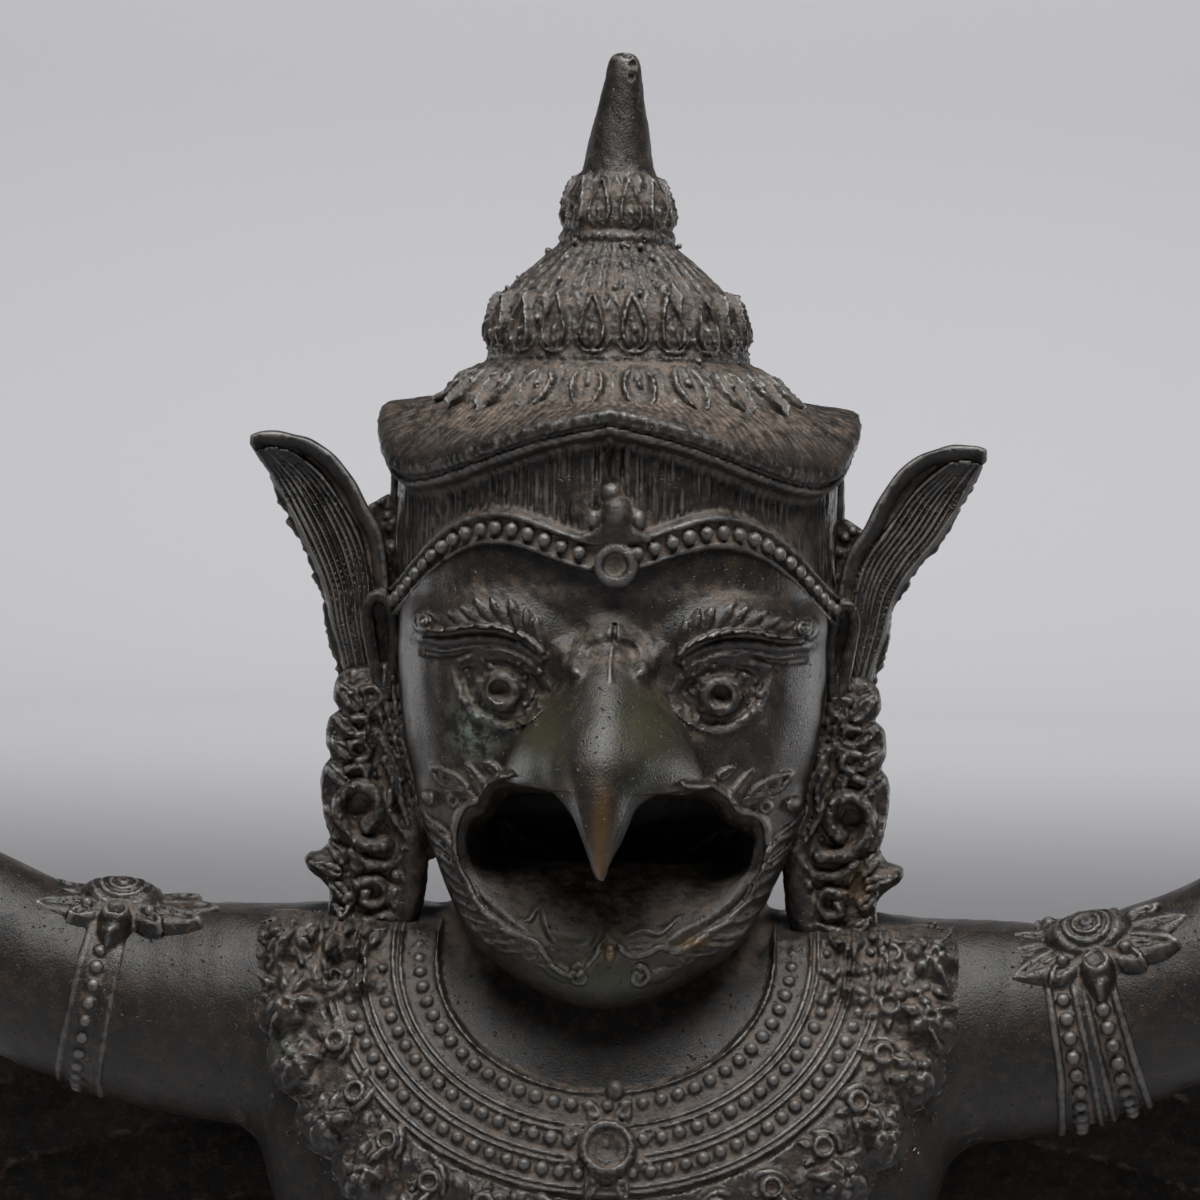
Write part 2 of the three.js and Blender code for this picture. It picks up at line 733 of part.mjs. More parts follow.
// A flower of one round boss and four leaves, laid on the arm where its front turns to its top.
function armFlower(side) {
  const place = armAt(side, ARM_FLOWER.at);
  const tilt = rad(ARM_FLOWER.tilt);
  const normal = V(0, -Math.cos(tilt), Math.sin(tilt));
  const centre = place.at.clone().addScaledVector(normal, place.radius - 1);
  const slope = rad(side < 0 ? ARM_FLOWER_SLOPE.left : ARM_FLOWER_SLOPE.right);
  const frame = placeOf(normal, V(side * Math.cos(slope), 0, Math.sin(slope)));
  const leaves = [
    [1, 0],
    [-1, 0],
    [0.25, 1],
    [-0.25, -1],
  ].map(([u, v]) => {
    const way = frame.along.clone().multiplyScalar(u).addScaledVector(frame.across, v);
    const length = Math.abs(u) > 0.5 ? ARM_FLOWER.leaf : ARM_FLOWER.side;
    return leaf(centre, placeOf(normal, way), length, ARM_FLOWER.wide, ARM_FLOWER.high, 7);
  });
  return union([boss(centre, frame, ARM_FLOWER.boss, ARM_FLOWER.bossHigh, 6, 4), ...leaves]);
}

function wing(side) {
  const steps = WING.feathers * 3;
  const edge = range(steps + 1).map((i) => {
    const t = i / steps;
    const out = WING.bulge * Math.sin(Math.PI * t);
    const scallop = WING.scallop * Math.abs(Math.sin(Math.PI * WING.feathers * t));
    return [side * (WING.outer + out + scallop), mix(WING.top, 0, t)];
  });
  const outline = [[side * WING.inner, 0], [side * WING.inner, WING.top], ...edge];
  const quills = range(WING.feathers).map((i) => {
    const z = mix(WING.top - 16, 4, (i + 0.4) / WING.feathers);
    const points = range(4).map((k) => {
      const t = k / 3;
      const out = mix(WING.inner + 40, WING.outer - 3, t);
      return V(side * out, WING.front, z + QUILL_RISE * (1 - t) - QUILL_DROP * t * t);
    });
    return cord(points, QUILL_RADIUS, 4);
  });
  return union([plate(outline, WING.front, WING.back), ...quills]);
}

// One row of the collar, as points on the body round the neck: the front by levels of the body,
// then over the shoulder, and the back.
function collarPoint([half, front, behind, power], turn) {
  const s = Math.sin(turn);
  const c = Math.abs(Math.cos(turn));
  const x = half * bend(s, 2 / power);
  const side = Math.cos(turn) > 0 ? -1 : 1;
  const low = side < 0 ? front : behind;
  const z = COLLAR_SIDE_HEIGHT - (COLLAR_SIDE_HEIGHT - low) * c ** (2 / power);
  return { x, z, side, point: V(x, surface(TORSO, x, z, side), z) };
}

// A ring of points along a row, set off from the body by the row's height.
function collarRow(row) {
  const half = range(COLLAR_STEPS).map((i) => mix(-88, 88, i / (COLLAR_STEPS - 1)));
  return [0, 180].flatMap((back) =>
    half.map((turn) => {
      const { x, z, side, point } = collarPoint(row, rad(back + turn));
      return point.addScaledVector(normalAt(TORSO, x, z, side), row[4]);
    }),
  );
}

function collar() {
  const band = loft(COLLAR_ROWS.map(collarRow), true);
  const beads = COLLAR_BEADS.flatMap((row, k) =>
    range(BEADS_IN_FRONT[k]).map((i) => {
      const turn = rad(mix(-84, 84, i / (BEADS_IN_FRONT[k] - 1)));
      const { x, z, side, point } = collarPoint(row, turn);
      return bead(point.addScaledVector(normalAt(TORSO, x, z, side), COLLAR_HIGH), BEAD_RADIUS);
    }),
  );
  const rosette = (turn) => {
    const { x, z, side, point } = collarPoint(COLLAR_ROSETTES, turn);
    const place = placeOf(normalAt(TORSO, x, z, side), V(x, 0, z - COLLAR_SIDE_HEIGHT - 6));
    return blossom(point, place);
  };
  const front = range(ROSETTES_IN_FRONT)
    .filter((i) => i !== (ROSETTES_IN_FRONT - 1) / 2)
    .map((i) => rosette(rad(mix(-84, 84, i / (ROSETTES_IN_FRONT - 1)))));
  return union([band, ...beads, ...front]);
}

// The large flower in the middle of the collar.
function centreJewel() {
  const z = CENTRE_JEWEL.up;
  const centre = V(0, surface(TORSO, 0, z), z);
  const normal = normalAt(TORSO, 0, z);
  const frame = placeOf(normal, V(0, 0, 1));
  const petals = range(CENTRE_JEWEL.petals).map((i) => {
    const turn = ((i + 0.5) / CENTRE_JEWEL.petals) * 2 * Math.PI;
    const way = frame.along.clone().multiplyScalar(Math.cos(turn))
      .addScaledVector(frame.across, Math.sin(turn));
    const foot = centre.clone().addScaledVector(way, CENTRE_JEWEL.radius * 0.6);
    return leaf(foot, placeOf(normal, way), PETAL.length, PETAL.wide, PETAL.high);
  });
  return union([boss(centre, frame, CENTRE_JEWEL.radius, CENTRE_JEWEL.high, 8), ...petals]);
}

// The block that the casting is trimmed to: flat below, and square across both arms.
function trim() {
  const high = 2 * (CROWN_FOOT + CROWN_HIGH);
  const block = new THREE.BoxGeometry(2 * ARM_CUT, high, high);
  block.translate(0, 0, high / 2);
  return fromGeometry(block);
}

// The whole casting: the body and the head, then what is on them, with the mouth opened.
function bust() {
  const both = (make) => [make(-1), make(1)];
  const head = union([stack(HEAD, HEAD_SIDES), lips(), chin()])
    .subtract(mouthHollow());
  const body = union([
    stack(TORSO, TORSO_SIDES),
    stack(NECK, NECK_SIDES),
    ...both(arm),
    ...both(wing),
    ...both(armlet),
    ...both(armFlower),
    collar(),
    centreJewel(),
  ]);
  return union([
    body,
    head,
    beak(),
    ...both(eye),
    ...both(brow),
    diadem(),
    crown(),
    jewels(),
    ...both(ear),
    ...both(lobe),
    ...both(ornament),
  ]).intersect(trim());
}

// The solid as a mesh that three.js draws, with flat facets.
function meshOf(manifold, name, look) {
  const { vertProperties, triVerts, numProp } = manifold.getMesh();
  const geometry = new THREE.BufferGeometry();
  const places = range(vertProperties.length / numProp).flatMap((i) =>
    Array.from(vertProperties.subarray(i * numProp, i * numProp + 3)),
  );
  geometry.setAttribute("position", new THREE.Float32BufferAttribute(places, 3));
  geometry.setIndex(Array.from(triVerts));
  const mesh = new THREE.Mesh(geometry, new THREE.MeshStandardMaterial({ ...look, flatShading: true }));
  mesh.name = name;
  return mesh;
}

const group = new THREE.Group();
group.add(meshOf(bust(), "garuda_bust", BRONZE));

export default group;
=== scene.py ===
"""The looks of a bronze bust of a garuda, a beaked figure with winged ears and a tiered crown.

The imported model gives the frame. Its one casting is replaced by pieces with the fine relief:
the skin of body, arms and head, the face, the diadem, the crown, the ears, the ear ornaments, the
collar, the armlets and their flowers, and the feathers. Every piece is a field of distances on a
grid, with relief drawn as height maps, which is turned into a mesh and thinned out. The numbers
here are millimetres; a mesh is scaled to metres when it is made. The face looks along -Y.
"""

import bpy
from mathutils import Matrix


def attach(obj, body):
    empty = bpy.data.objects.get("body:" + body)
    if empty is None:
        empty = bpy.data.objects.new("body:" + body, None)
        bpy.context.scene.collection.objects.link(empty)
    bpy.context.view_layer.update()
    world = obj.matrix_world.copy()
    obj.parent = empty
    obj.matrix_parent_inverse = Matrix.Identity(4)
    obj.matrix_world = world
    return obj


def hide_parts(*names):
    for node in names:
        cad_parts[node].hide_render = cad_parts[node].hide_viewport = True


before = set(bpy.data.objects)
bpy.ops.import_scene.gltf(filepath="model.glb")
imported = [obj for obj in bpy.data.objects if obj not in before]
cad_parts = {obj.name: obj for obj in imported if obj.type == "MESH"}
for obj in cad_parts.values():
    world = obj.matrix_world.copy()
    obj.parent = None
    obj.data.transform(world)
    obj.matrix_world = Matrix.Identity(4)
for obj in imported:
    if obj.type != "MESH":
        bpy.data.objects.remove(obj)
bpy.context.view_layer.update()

import math

import bpy
import numpy as np
import openvdb
from mathutils import Matrix, Vector

NODE = "garuda_bust"
METRES = 0.001
FAR = 9.0

# Distances are rounded before they are turned into a mesh, so that every run thins out the same one.
DECIMALS = 4

# Grid steps, which set how fine each piece's mesh is.
STEP = {"skin": 1.3, "face": 0.56, "diadem": 0.68, "crown": 0.56, "ornament": 0.62, "collar": 0.55}
STEP |= {"armlet": 0.75, "wing": 1.25, "ear": 0.5}

# The most triangles that each piece keeps when flat places are thinned out. The first of these
# names that is in a piece's own name counts.
KEPT = {"skin": 76000, "face": 168000, "diadem": 136000, "crown": 146000, "collar": 166000}
KEPT |= {"ornament": 44000, "ear": 56000, "armlet": 34000, "wing": 18000}

# The casting's own sizes, the same as the CAD's. A body row is a height, half width, reach to the
# front and to the back of the Y axis, and how square its outline is.
TORSO = [
    (0, 80, 52, 44, 2.4),
    (18, 87, 60, 47, 2.4),
    (34, 92, 64, 48, 2.4),
    (50, 97, 62, 48, 2.4),
    (70, 101, 54, 46, 2.3),
    (85, 102, 45, 42, 2.2),
    (98, 100, 34, 36, 2.1),
    (107, 93, 22, 27, 2),
    (113, 76, 8, 14, 2),
]
NECK = [
    (58, 50, 50, 40, 2),
    (80, 49, 50, 42, 2),
    (95, 47, 45, 43, 2),
    (106, 45, 41, 43, 2),
    (126, 43, 38, 42, 2),
    (150, 43, 36, 42, 2),
]
HEAD = [
    (93, 9, 55, -38, 2),
    (98, 21, 60, -22, 2),
    (108, 36, 63, -2, 2.1),
    (120, 43.5, 64, 26, 2.2),
    (133, 49.5, 63, 46, 2.6),
    (150, 54.5, 61, 55, 2.9),
    (166, 58, 59.5, 59, 3.2),
    (188, 60, 59.5, 61, 3.0),
    (203, 60.3, 60, 61, 2.5),
    (218, 60.5, 60.5, 61, 2.2),
    (246, 58, 58, 58, 2),
]
BEAK = [
    (200, 2, 59.5, -56, 2),
    (191, 4.5, 67, -50, 2),
    (184, 7, 75.5, -50, 2),
    (176, 9.5, 84, -50, 2),
    (169, 11.8, 90.5, -50, 2),
    (163, 13, 94.5, -50, 2),
    (157, 13, 97, -50, 2),
    (150, 11.5, 98.3, -50, 2),
    (143, 9, 98, -50, 2),
    (137, 6.5, 96, -50, 2),
    (131, 4, 92, -50, 2),
]
FLANKS = [
    (200, 2, 61, -59, 1.5),
    (191, 8, 66, -54, 1.6),
    (184, 12, 74.5, -45.5, 1.7),
    (176, 17.5, 83, -37, 1.75),
    (169, 22, 89.5, -30.5, 1.75),
    (163, 25, 93, -27, 1.75),
    (157, 27, 92, -28, 1.75),
    (150, 28, 88, -32, 1.75),
    (143, 28, 84, -36, 1.8),
    (137, 27, 80, -40, 1.8),
    (131, 26, 76, -44, 1.8),
]
BEAK_SOFT = 4
FLANK_SOFT = 5
BEAK_BACK = [(131, -90), (137, -86), (143, -80), (150, -71), (158, -60), (162, -50)]
ARM = [(58, 2, 79, 33), (106, 2, 82, 31), (128, 2, 84, 28.6), (150, 1, 90, 26.6), (170, 0, 98, 25.6)]
ARM += [(200, 0, 114, 25)]
ARM_CUT = 188
ARM_LIFT = {-1: -2.5, 1: 4}
ARM_LIFT_FROM = 120
ARM_SOFT = 9
SHOULDER = {"top": 113, "soft": 5}
NECK_ENDS = (56, 131)
NECK_SOFT = 4
HEAD_FOOT = 93

# The rounds of averaging that worn edges, dusty hollows and the painted shade in the deepest ones are
# measured against, the angle at which an edge stays sharp, and the size and seed of the broad and the fine
# unevenness of the casting.
FINE_ROUNDS = 3
BROAD_ROUNDS = 26
SHARP_ANGLE = 62
UNEVEN = (15, 3)
CRUSTED = (2.4, 7)

# Directions round the head, in degrees from the front, in which relief is drawn.
ANGLE_STEP = 0.25
ANGLES = np.arange(-180, 180.01, ANGLE_STEP)

# The colours of the bronze, all linear.
PATINA = ((0.006, 0.0056, 0.0052), (0.014, 0.0122, 0.0102))
BROWN = (0.034, 0.021, 0.013)
OLIVE = (0.027, 0.028, 0.013)
SPECKS = (0.085, 0.055, 0.036)
BARE_METAL = (0.25, 0.24, 0.225)
BRASS = (0.16, 0.095, 0.035)
DUST = ((0.105, 0.074, 0.054), (0.215, 0.168, 0.132))
VERDIGRIS = (0.115, 0.150, 0.115)
BARE_SHARE = 0.48

# The face is carved a little to the right of the middle.
FACE_MIDDLE = 1.2


# Plain helpers.
def unit(vector):
    vector = np.asarray(vector, float)
    return vector / np.linalg.norm(vector)


def smooth_rows(rows, at):
    """A table's columns at the values of its first column, on smooth curves through the rows."""
    rows = np.array(sorted(rows), float)
    keys, values = rows[:, 0], rows[:, 1:]
    slopes = np.gradient(values, keys, axis=0)
    k = np.clip(np.searchsorted(keys, at) - 1, 0, len(keys) - 2)
    span = (keys[k + 1] - keys[k])[..., None]
    t = np.clip((np.asarray(at) - keys[k])[..., None] / span, 0, 1)
    rise = t * t * (3 - 2 * t)
    bow = t * (1 - t)
    return (
        values[k] * (1 - rise)
        + values[k + 1] * rise
        + span * bow * ((1 - t) * slopes[k] - t * slopes[k + 1])
    )


def spline(points, count, closed=False):
    """Points on a smooth curve through the given ones."""
    points = np.array(points, float)
    n = len(points)
    spans = n if closed else n - 1
    t = np.linspace(0, spans, count, endpoint=not closed)
    k = np.minimum(t.astype(int), spans - 1)
    f = (t - k)[:, None]
    pick = (lambda i: points[i % n]) if closed else (lambda i: points[np.clip(i, 0, n - 1)])
    a, b, c, d = pick(k - 1), pick(k), pick(k + 1), pick(k + 2)
    return 0.5 * (
        2 * b + (c - a) * f + (2 * a - 5 * b + 4 * c - d) * f**2 + (3 * b - a - 3 * c + d) * f**3
    )


def evenly(points, pitch):
    """Places along a line of points, the same distance apart."""
    points = np.array(points, float)
    run = np.r_[0, np.cumsum(np.linalg.norm(np.diff(points, axis=0), axis=1))]
    at = np.linspace(0, run[-1], max(2, round(run[-1] / pitch) + 1))
    return np.stack([np.interp(at, run, column) for column in points.T], 1)


def mirrored(points, side, middle=FACE_MIDDLE):
    """Points drawn for the right half, as they lie on one side of the face."""
    return [(middle + side * (x - middle) if side < 0 else x, z) for x, z in points]


def join(a, b, soft=0.0):
    """Two solids as one, with a soft crease between them."""
    if not soft:
        return np.minimum(a, b)
    h = np.maximum(soft - np.abs(a - b), 0) / soft
    return np.minimum(a, b) - h * h * soft / 4


def meet(a, b, soft=0.0):
    """What two solids share, with a soft edge."""
    return -join(-a, -b, soft)


def from_line(u, v, points, closed=False):
    """How far each place is from a line of points, and where along the line its nearest point is."""
    p = np.array(points, np.float32)
    q = np.roll(p, -1, 0)
    if not closed:
        p, q = p[:-1], q[:-1]
    best = np.full(np.broadcast(u, v).shape, 1e6, np.float32)
    along = np.zeros_like(best)
    for i, (a, b) in enumerate(zip(p, q)):
        span = b - a
        t = np.clip(((u - a[0]) * span[0] + (v - a[1]) * span[1]) / max(span @ span, 1e-9), 0, 1)
        gap = np.hypot(u - a[0] - t * span[0], v - a[1] - t * span[1])
        nearer = gap < best
        best = np.where(nearer, gap, best)
        along = np.where(nearer, (i + t) / len(p), along)
    return best, along


def inside(u, v, outline):
    """Which places are inside an outline."""
    within = np.zeros(np.broadcast(u, v).shape, bool)
    for (a, b), (c, d) in zip(outline, np.roll(outline, -1, 0)):
        if b != d:
            crosses = ((b > v) != (d > v)) & (u < (c - a) * (v - b) / (d - b) + a)
            within ^= crosses
    return within


def flat_distance(u, v, outline):
    """Distance to an outline, negative inside it."""
    gap, _ = from_line(u, v, outline, True)
    return np.where(inside(u, v, outline), -gap, gap)


def leaf_height(along, across, wide, style="rib"):
    """A leaf's height, from 0 to 1, by the share of its length and the distance to its middle line."""
    s = np.clip(along, 1e-4, 1 - 1e-4)
    half = wide / 2 * np.sin(np.pi * s ** (0.85 if style == "oval" else 0.6)) ** 0.7
    half = np.where((along > 0) & (along < 1), half, 0)
    edge = half - np.abs(across)
    body = np.clip(edge / (0.16 * wide), 0, 1)
    if style == "rim":
        rim = np.exp(-((edge - 0.13 * wide) / (0.09 * wide)) ** 2)
        core = np.exp(-((across / (0.12 * wide)) ** 2)) * np.clip(1.3 - along * 1.6, 0, 1)
        return body * np.clip(0.32 + 0.68 * rim + 0.4 * core, 0, 1)
    share = np.clip(across / np.maximum(half, 1e-3), -1, 1)
    if style in ("lock", "oval"):
        return np.clip(1.6 * body, 0, 1) * (1 - share**2) ** 0.35 * (0.8 + 0.2 * share)
    swell = np.sqrt(1 - share**2)
    rib = 0.45 * np.exp(-((across / (0.09 * wide)) ** 2)) * (along < 0.85)
    return np.clip(body, 0, 1) * np.clip(swell - rib, 0, 1)


class Relief:
    """A map of heights over two directions, on which lines, leaves and bosses are drawn."""

    def __init__(self, u, v, base=0.0):
        self.u, self.v = np.asarray(u, np.float32), np.asarray(v, np.float32)
        self.h = np.full((len(self.u), len(self.v)), base, np.float32)

    @classmethod
    def plaque(cls, half_u, half_v, step=0.2):
        return cls(np.arange(-half_u, half_u, step), np.arange(-half_v, half_v, step), -2.0)

    def window(self, low, high):
        a, b = (slice(*np.searchsorted(axis, ends)) for axis, ends in zip((self.u, self.v), zip(low, high)))
        return (a, b), self.u[a, None], self.v[None, b]

    def put(self, cut, height, there, on):
        old = self.h[cut]
        self.h[cut] = np.where(there, old + height if on else np.maximum(old, height), old)

    def line(self, points, wide, high, closed=False, on=False, soft=False, taper=False):
        """A rounded ridge, or with a negative height a groove, along a line of points."""
        points = np.array(points, float)
        cut, u, v = self.window(points.min(0) - wide, points.max(0) + wide)
        gap, along = from_line(u, v, points, closed)
        share = np.clip(1 - (gap / wide) ** 2, 0, 1)
        height = high * (share**2 if soft else np.sqrt(share))
        if taper:
            height = height * np.sqrt(np.clip(4 * along * (1 - along), 0, 1))
        self.put(cut, height, share > 0, on or high < 0)

    def dome(self, u0, v0, radius, high, stretch=1.0, turn=0.0, on=False, soft=False):
        """A round or oval boss or, with a negative height, a dimple."""
        reach = radius * max(1, stretch)
        cut, u, v = self.window((u0 - reach, v0 - reach), (u0 + reach, v0 + reach))
        c, s = math.cos(turn), math.sin(turn)
        p, q = (u - u0) * c + (v - v0) * s, (v - v0) * c - (u - u0) * s
        share = np.clip(1 - (p / (radius * stretch)) ** 2 - (q / radius) ** 2, 0, 1)
        height = high * (share**1.5 if soft else np.sqrt(share))
        self.put(cut, height, share > 0, on or high < 0)

    def ring(self, u, v, radius, wide, high, on=False):
        turns = np.linspace(0, 2 * np.pi, 20, endpoint=False)
        points = np.stack([u + radius * np.cos(turns), v + radius * np.sin(turns)], 1)
        self.line(points, wide, high, closed=True, on=on)

    def leaf(self, foot, tip, wide, high, style="rib", on=False, hand=1):
        foot, tip = np.array(foot, float), np.array(tip, float)
        length = np.linalg.norm(tip - foot)
        way = (tip - foot) / length
        cut, u, v = self.window(np.minimum(foot, tip) - wide, np.maximum(foot, tip) + wide)
        along = ((u - foot[0]) * way[0] + (v - foot[1]) * way[1]) / length
        across = (v - foot[1]) * way[0] - (u - foot[0]) * way[1]
        height = high * leaf_height(along, hand * across, wide, style)
        self.put(cut, height, height > 0, on)

    def curl(self, u, v, radius, wide, high, turns=1.25, start=0.0, hand=1, on=False):
        """A spiral that ends in a bead."""
        t = np.linspace(0, 1, 26)
        turn = start + hand * turns * 2 * np.pi * t
        r = radius * (1 - 0.78 * t)
        self.line(np.stack([u + r * np.cos(turn), v + r * np.sin(turn)], 1), wide, high, on=on)
        self.dome(u, v, wide * 1.1, high * 1.1, on=on)

    def fill(self, outline, high, soft=1.0, on=False):
        """An area of one height with soft edges."""
        outline = np.array(outline, float)
        cut, u, v = self.window(outline.min(0) - soft, outline.max(0) + soft)
        gap, _ = from_line(u, v, outline, True)
        share = np.clip(0.5 + np.where(inside(u, v, outline), gap, -gap) / soft, 0, 1)
        height = high * share * share * (3 - 2 * share)
        self.put(cut, height, share > 0, on or high < 0)


class Field:
    """Distances to a solid on a box of grid points, negative inside."""

    def __init__(self, low, high, step):
        self.low = np.array(low, float)
        self.step = step
        self.x, self.y, self.z = (
            (a + step * np.arange(int((b - a) / step) + 2)).astype(np.float32)
            for a, b in zip(low, high)
        )
        self.d = np.full((len(self.x), len(self.y), len(self.z)), FAR, np.float32)

    def grid(self):
        return self.x[:, None, None], self.y[None, :, None], self.z[None, None, :]

    def window(self, low, high):
        axes = (self.x, self.y, self.z)
        cut = tuple(slice(*np.searchsorted(axis, ends)) for axis, ends in zip(axes, zip(low, high)))
        return cut, self.x[cut[0], None, None], self.y[None, cut[1], None], self.z[None, None, cut[2]]

    def put(self, cut, shape, soft=0.0, carve=False):
        if shape.size:
            old = self.d[cut]
            self.d[cut] = meet(old, -shape, soft) if carve else join(old, shape, soft)

    def body(self, rows, far=FAR, level=False):
        """Distance to a body that is given by the rows of a table, or its distance on the level."""
        wide, front, back, power = smooth_rows(rows, self.z).T.astype(np.float32)
        across = (np.abs(self.x)[:, None] / wide) ** power
        deep = (np.abs(self.y[:, None] - (back - front) / 2) / ((back + front) / 2)) ** power
        f = (across[:, None, :] + deep[None, :, :] + 1e-6) ** (1 / power)
        f = f - 1
        ways = (0, 1) if level else (0, 1, 2)
        slope = np.sqrt(sum(g * g for g in np.gradient(f, self.step, axis=ways)))
        return np.clip(f / np.maximum(slope, 1e-3), -far, far)

    def tube(self, points, radius, soft=0.0, closed=False, carve=False):
        """A round cord along points."""
        points = np.array(points, float)
        radii = np.broadcast_to(np.asarray(radius, float), (len(points),))
        reach = radii.max() + soft + 2 * self.step
        whole, *_ = self.window(points.min(0) - reach, points.max(0) + reach)
        cord = np.full(self.d[whole].shape, FAR, np.float32)
        first = [part.start for part in whole]
        ends = zip(points, np.roll(points, -1, 0), radii, np.roll(radii, -1))
        for k, (a, b, ra, rb) in enumerate(ends):
            if k == len(points) - 1 and not closed:
                break
            cut, x, y, z = self.window(np.minimum(a, b) - reach, np.maximum(a, b) + reach)
            cut = tuple(slice(part.start - low, part.stop - low) for part, low in zip(cut, first))
            span = b - a
            t = (x - a[0]) * span[0] + (y - a[1]) * span[1] + (z - a[2]) * span[2]
            t = np.clip(t / max(span @ span, 1e-9), 0, 1)
            gap = (x - a[0] - t * span[0]) ** 2 + (y - a[1] - t * span[1]) ** 2
            gap = np.sqrt(gap + (z - a[2] - t * span[2]) ** 2) - (ra + t * (rb - ra))
            cord[cut] = np.minimum(cord[cut], gap)
        self.put(whole, cord, soft, carve)

    def ball(self, centre, radii, soft=0.0, axes=None, carve=False):
        """A ball or an ellipsoid with its axes."""
        radii = np.broadcast_to(np.asarray(radii, float), (3,))
        reach = radii.max() + soft + 2 * self.step
        cut, x, y, z = self.window(np.array(centre) - reach, np.array(centre) + reach)
        x, y, z = x - centre[0], y - centre[1], z - centre[2]
        if axes is not None:
            x, y, z = (x * way[0] + y * way[1] + z * way[2] for way in axes)
        k0 = np.sqrt((x / radii[0]) ** 2 + (y / radii[1]) ** 2 + (z / radii[2]) ** 2)
        k1 = np.sqrt((x / radii[0] ** 2) ** 2 + (y / radii[1] ** 2) ** 2 + (z / radii[2] ** 2) ** 2)
        gap = k0 * (k0 - 1) / np.maximum(k1, 1e-6)
        self.put(cut, gap.astype(np.float32), soft, carve)

    def lay(self, relief, centre, axes, soft=0.4, bulge=(0.0, 0.0)):
        """A plaque of relief on a place, by its axes along, across and outward."""
        half = max(abs(relief.u[0]), abs(relief.v[0])) + 4
        cut, x, y, z = self.window(np.array(centre) - half, np.array(centre) + half)
        x, y, z = x - centre[0], y - centre[1], z - centre[2]
        u, v, w = (x * way[0] + y * way[1] + z * way[2] for way in axes)
        step = relief.u[1] - relief.u[0]
        i = np.rint((u - relief.u[0]) / step).astype(int)
        j = np.rint((v - relief.v[0]) / step).astype(int)
        there = (i >= 0) & (i < len(relief.u)) & (j >= 0) & (j < len(relief.v))
        h = relief.h[np.clip(i, 0, len(relief.u) - 1), np.clip(j, 0, len(relief.v) - 1)]
        w = w + bulge[0] * u * u + bulge[1] * v * v
        gap = meet((w - h) * 0.8, -4.5 - w)
        self.put(cut, np.where(there & (h > -1.9), gap, FAR).astype(np.float32), soft)

    def mesh(self, side=-1):
        """Points and faces of the surface. What is drawn on the left is mirrored for the right."""
        grid = openvdb.FloatGrid(2.0)
        grid.copyFromArray(np.clip(np.round(self.d, DECIMALS), -2, 2))
        points, _, quads = grid.convertToPolygons(isovalue=0.0, adaptivity=0.0)
        points, faces = self.low + self.step * points.astype(float), quads.astype(np.int64)
        if side > 0:
            return points * (-1, 1, 1), faces[:, ::-1]
        return points, faces


# The surface of a body, for what is laid on it.
def surface(rows, x, z):
    """Where a body's surface is in front."""
    wide, front, back, power = np.moveaxis(smooth_rows(rows, np.asarray(z, float)), -1, 0)
    share = np.minimum(0.999, np.abs(x) / wide)
    return (back - front) / 2 - (back + front) / 2 * (1 - share**power) ** (1 / power)


def outward(rows, x, z):
    """The outward direction there."""
    dx = surface(rows, x + 1, z) - surface(rows, x - 1, z)
    dz = surface(rows, x, z + 1) - surface(rows, x, z - 1)
    return unit((dx, -2, dz))


def angle_index(x, y):
    """Which of the directions round the head a place lies in."""
    return np.rint((np.degrees(np.arctan2(x, -y)) + 180) / ANGLE_STEP).astype(np.int32)


def sided(name, side):
    return name + ("_left" if side < 0 else "_right")


def axes_at(normal, towards):
    """Directions along, across and out of a surface."""
    along = np.asarray(towards, float)
    along = unit(along - (along @ normal) * normal)
    return along, np.cross(normal, along), normal


# Meshes and what is painted on their points.
def even_out(values, edges, rounds):
    """Values averaged with those of the neighbours, again and again."""
    n = len(values)
    a, b = edges.T
    count = np.bincount(a, minlength=n) + np.bincount(b, minlength=n) + 1
    for _ in range(rounds):
        total = values.copy()
        for k in range(values.shape[1]):
            total[:, k] += np.bincount(a, values[b, k], n) + np.bincount(b, values[a, k], n)
        values = total / count[:, None]
    return values


def grain(shape, seed, rounds=2):
    """A rough map of about 1 strong."""
    noise = np.random.default_rng(seed).normal(size=shape)
    for _ in range(rounds):
        noise = (noise + np.roll(noise, 1, 0) + np.roll(noise, 1, 1) + np.roll(noise, (1, 1), (0, 1))) / 4
    return (noise / noise.std()).astype(np.float32)


def waves(points, size, seed):
    """A smooth random value about 1 strong, with bumps of about the given size."""
    rng = np.random.default_rng(seed)
    ways = rng.normal(size=(14, 3)) * 2 * np.pi / size / 1.7
    return np.sin(points @ ways.T + rng.uniform(0, 2 * np.pi, 14)).sum(1) / math.sqrt(7)


def thin_out(piece, share):
    """Keeps a share of a piece's triangles, most of them where its surface bends."""
    full = piece.data
    piece.modifiers.new("thin", "DECIMATE").ratio = share
    thinned = piece.evaluated_get(bpy.context.evaluated_depsgraph_get())
    piece.data = bpy.data.meshes.new_from_object(thinned)
    piece.modifiers.clear()
    name = full.name
    bpy.data.meshes.remove(full)
    piece.data.name = name
    piece.data.validate()


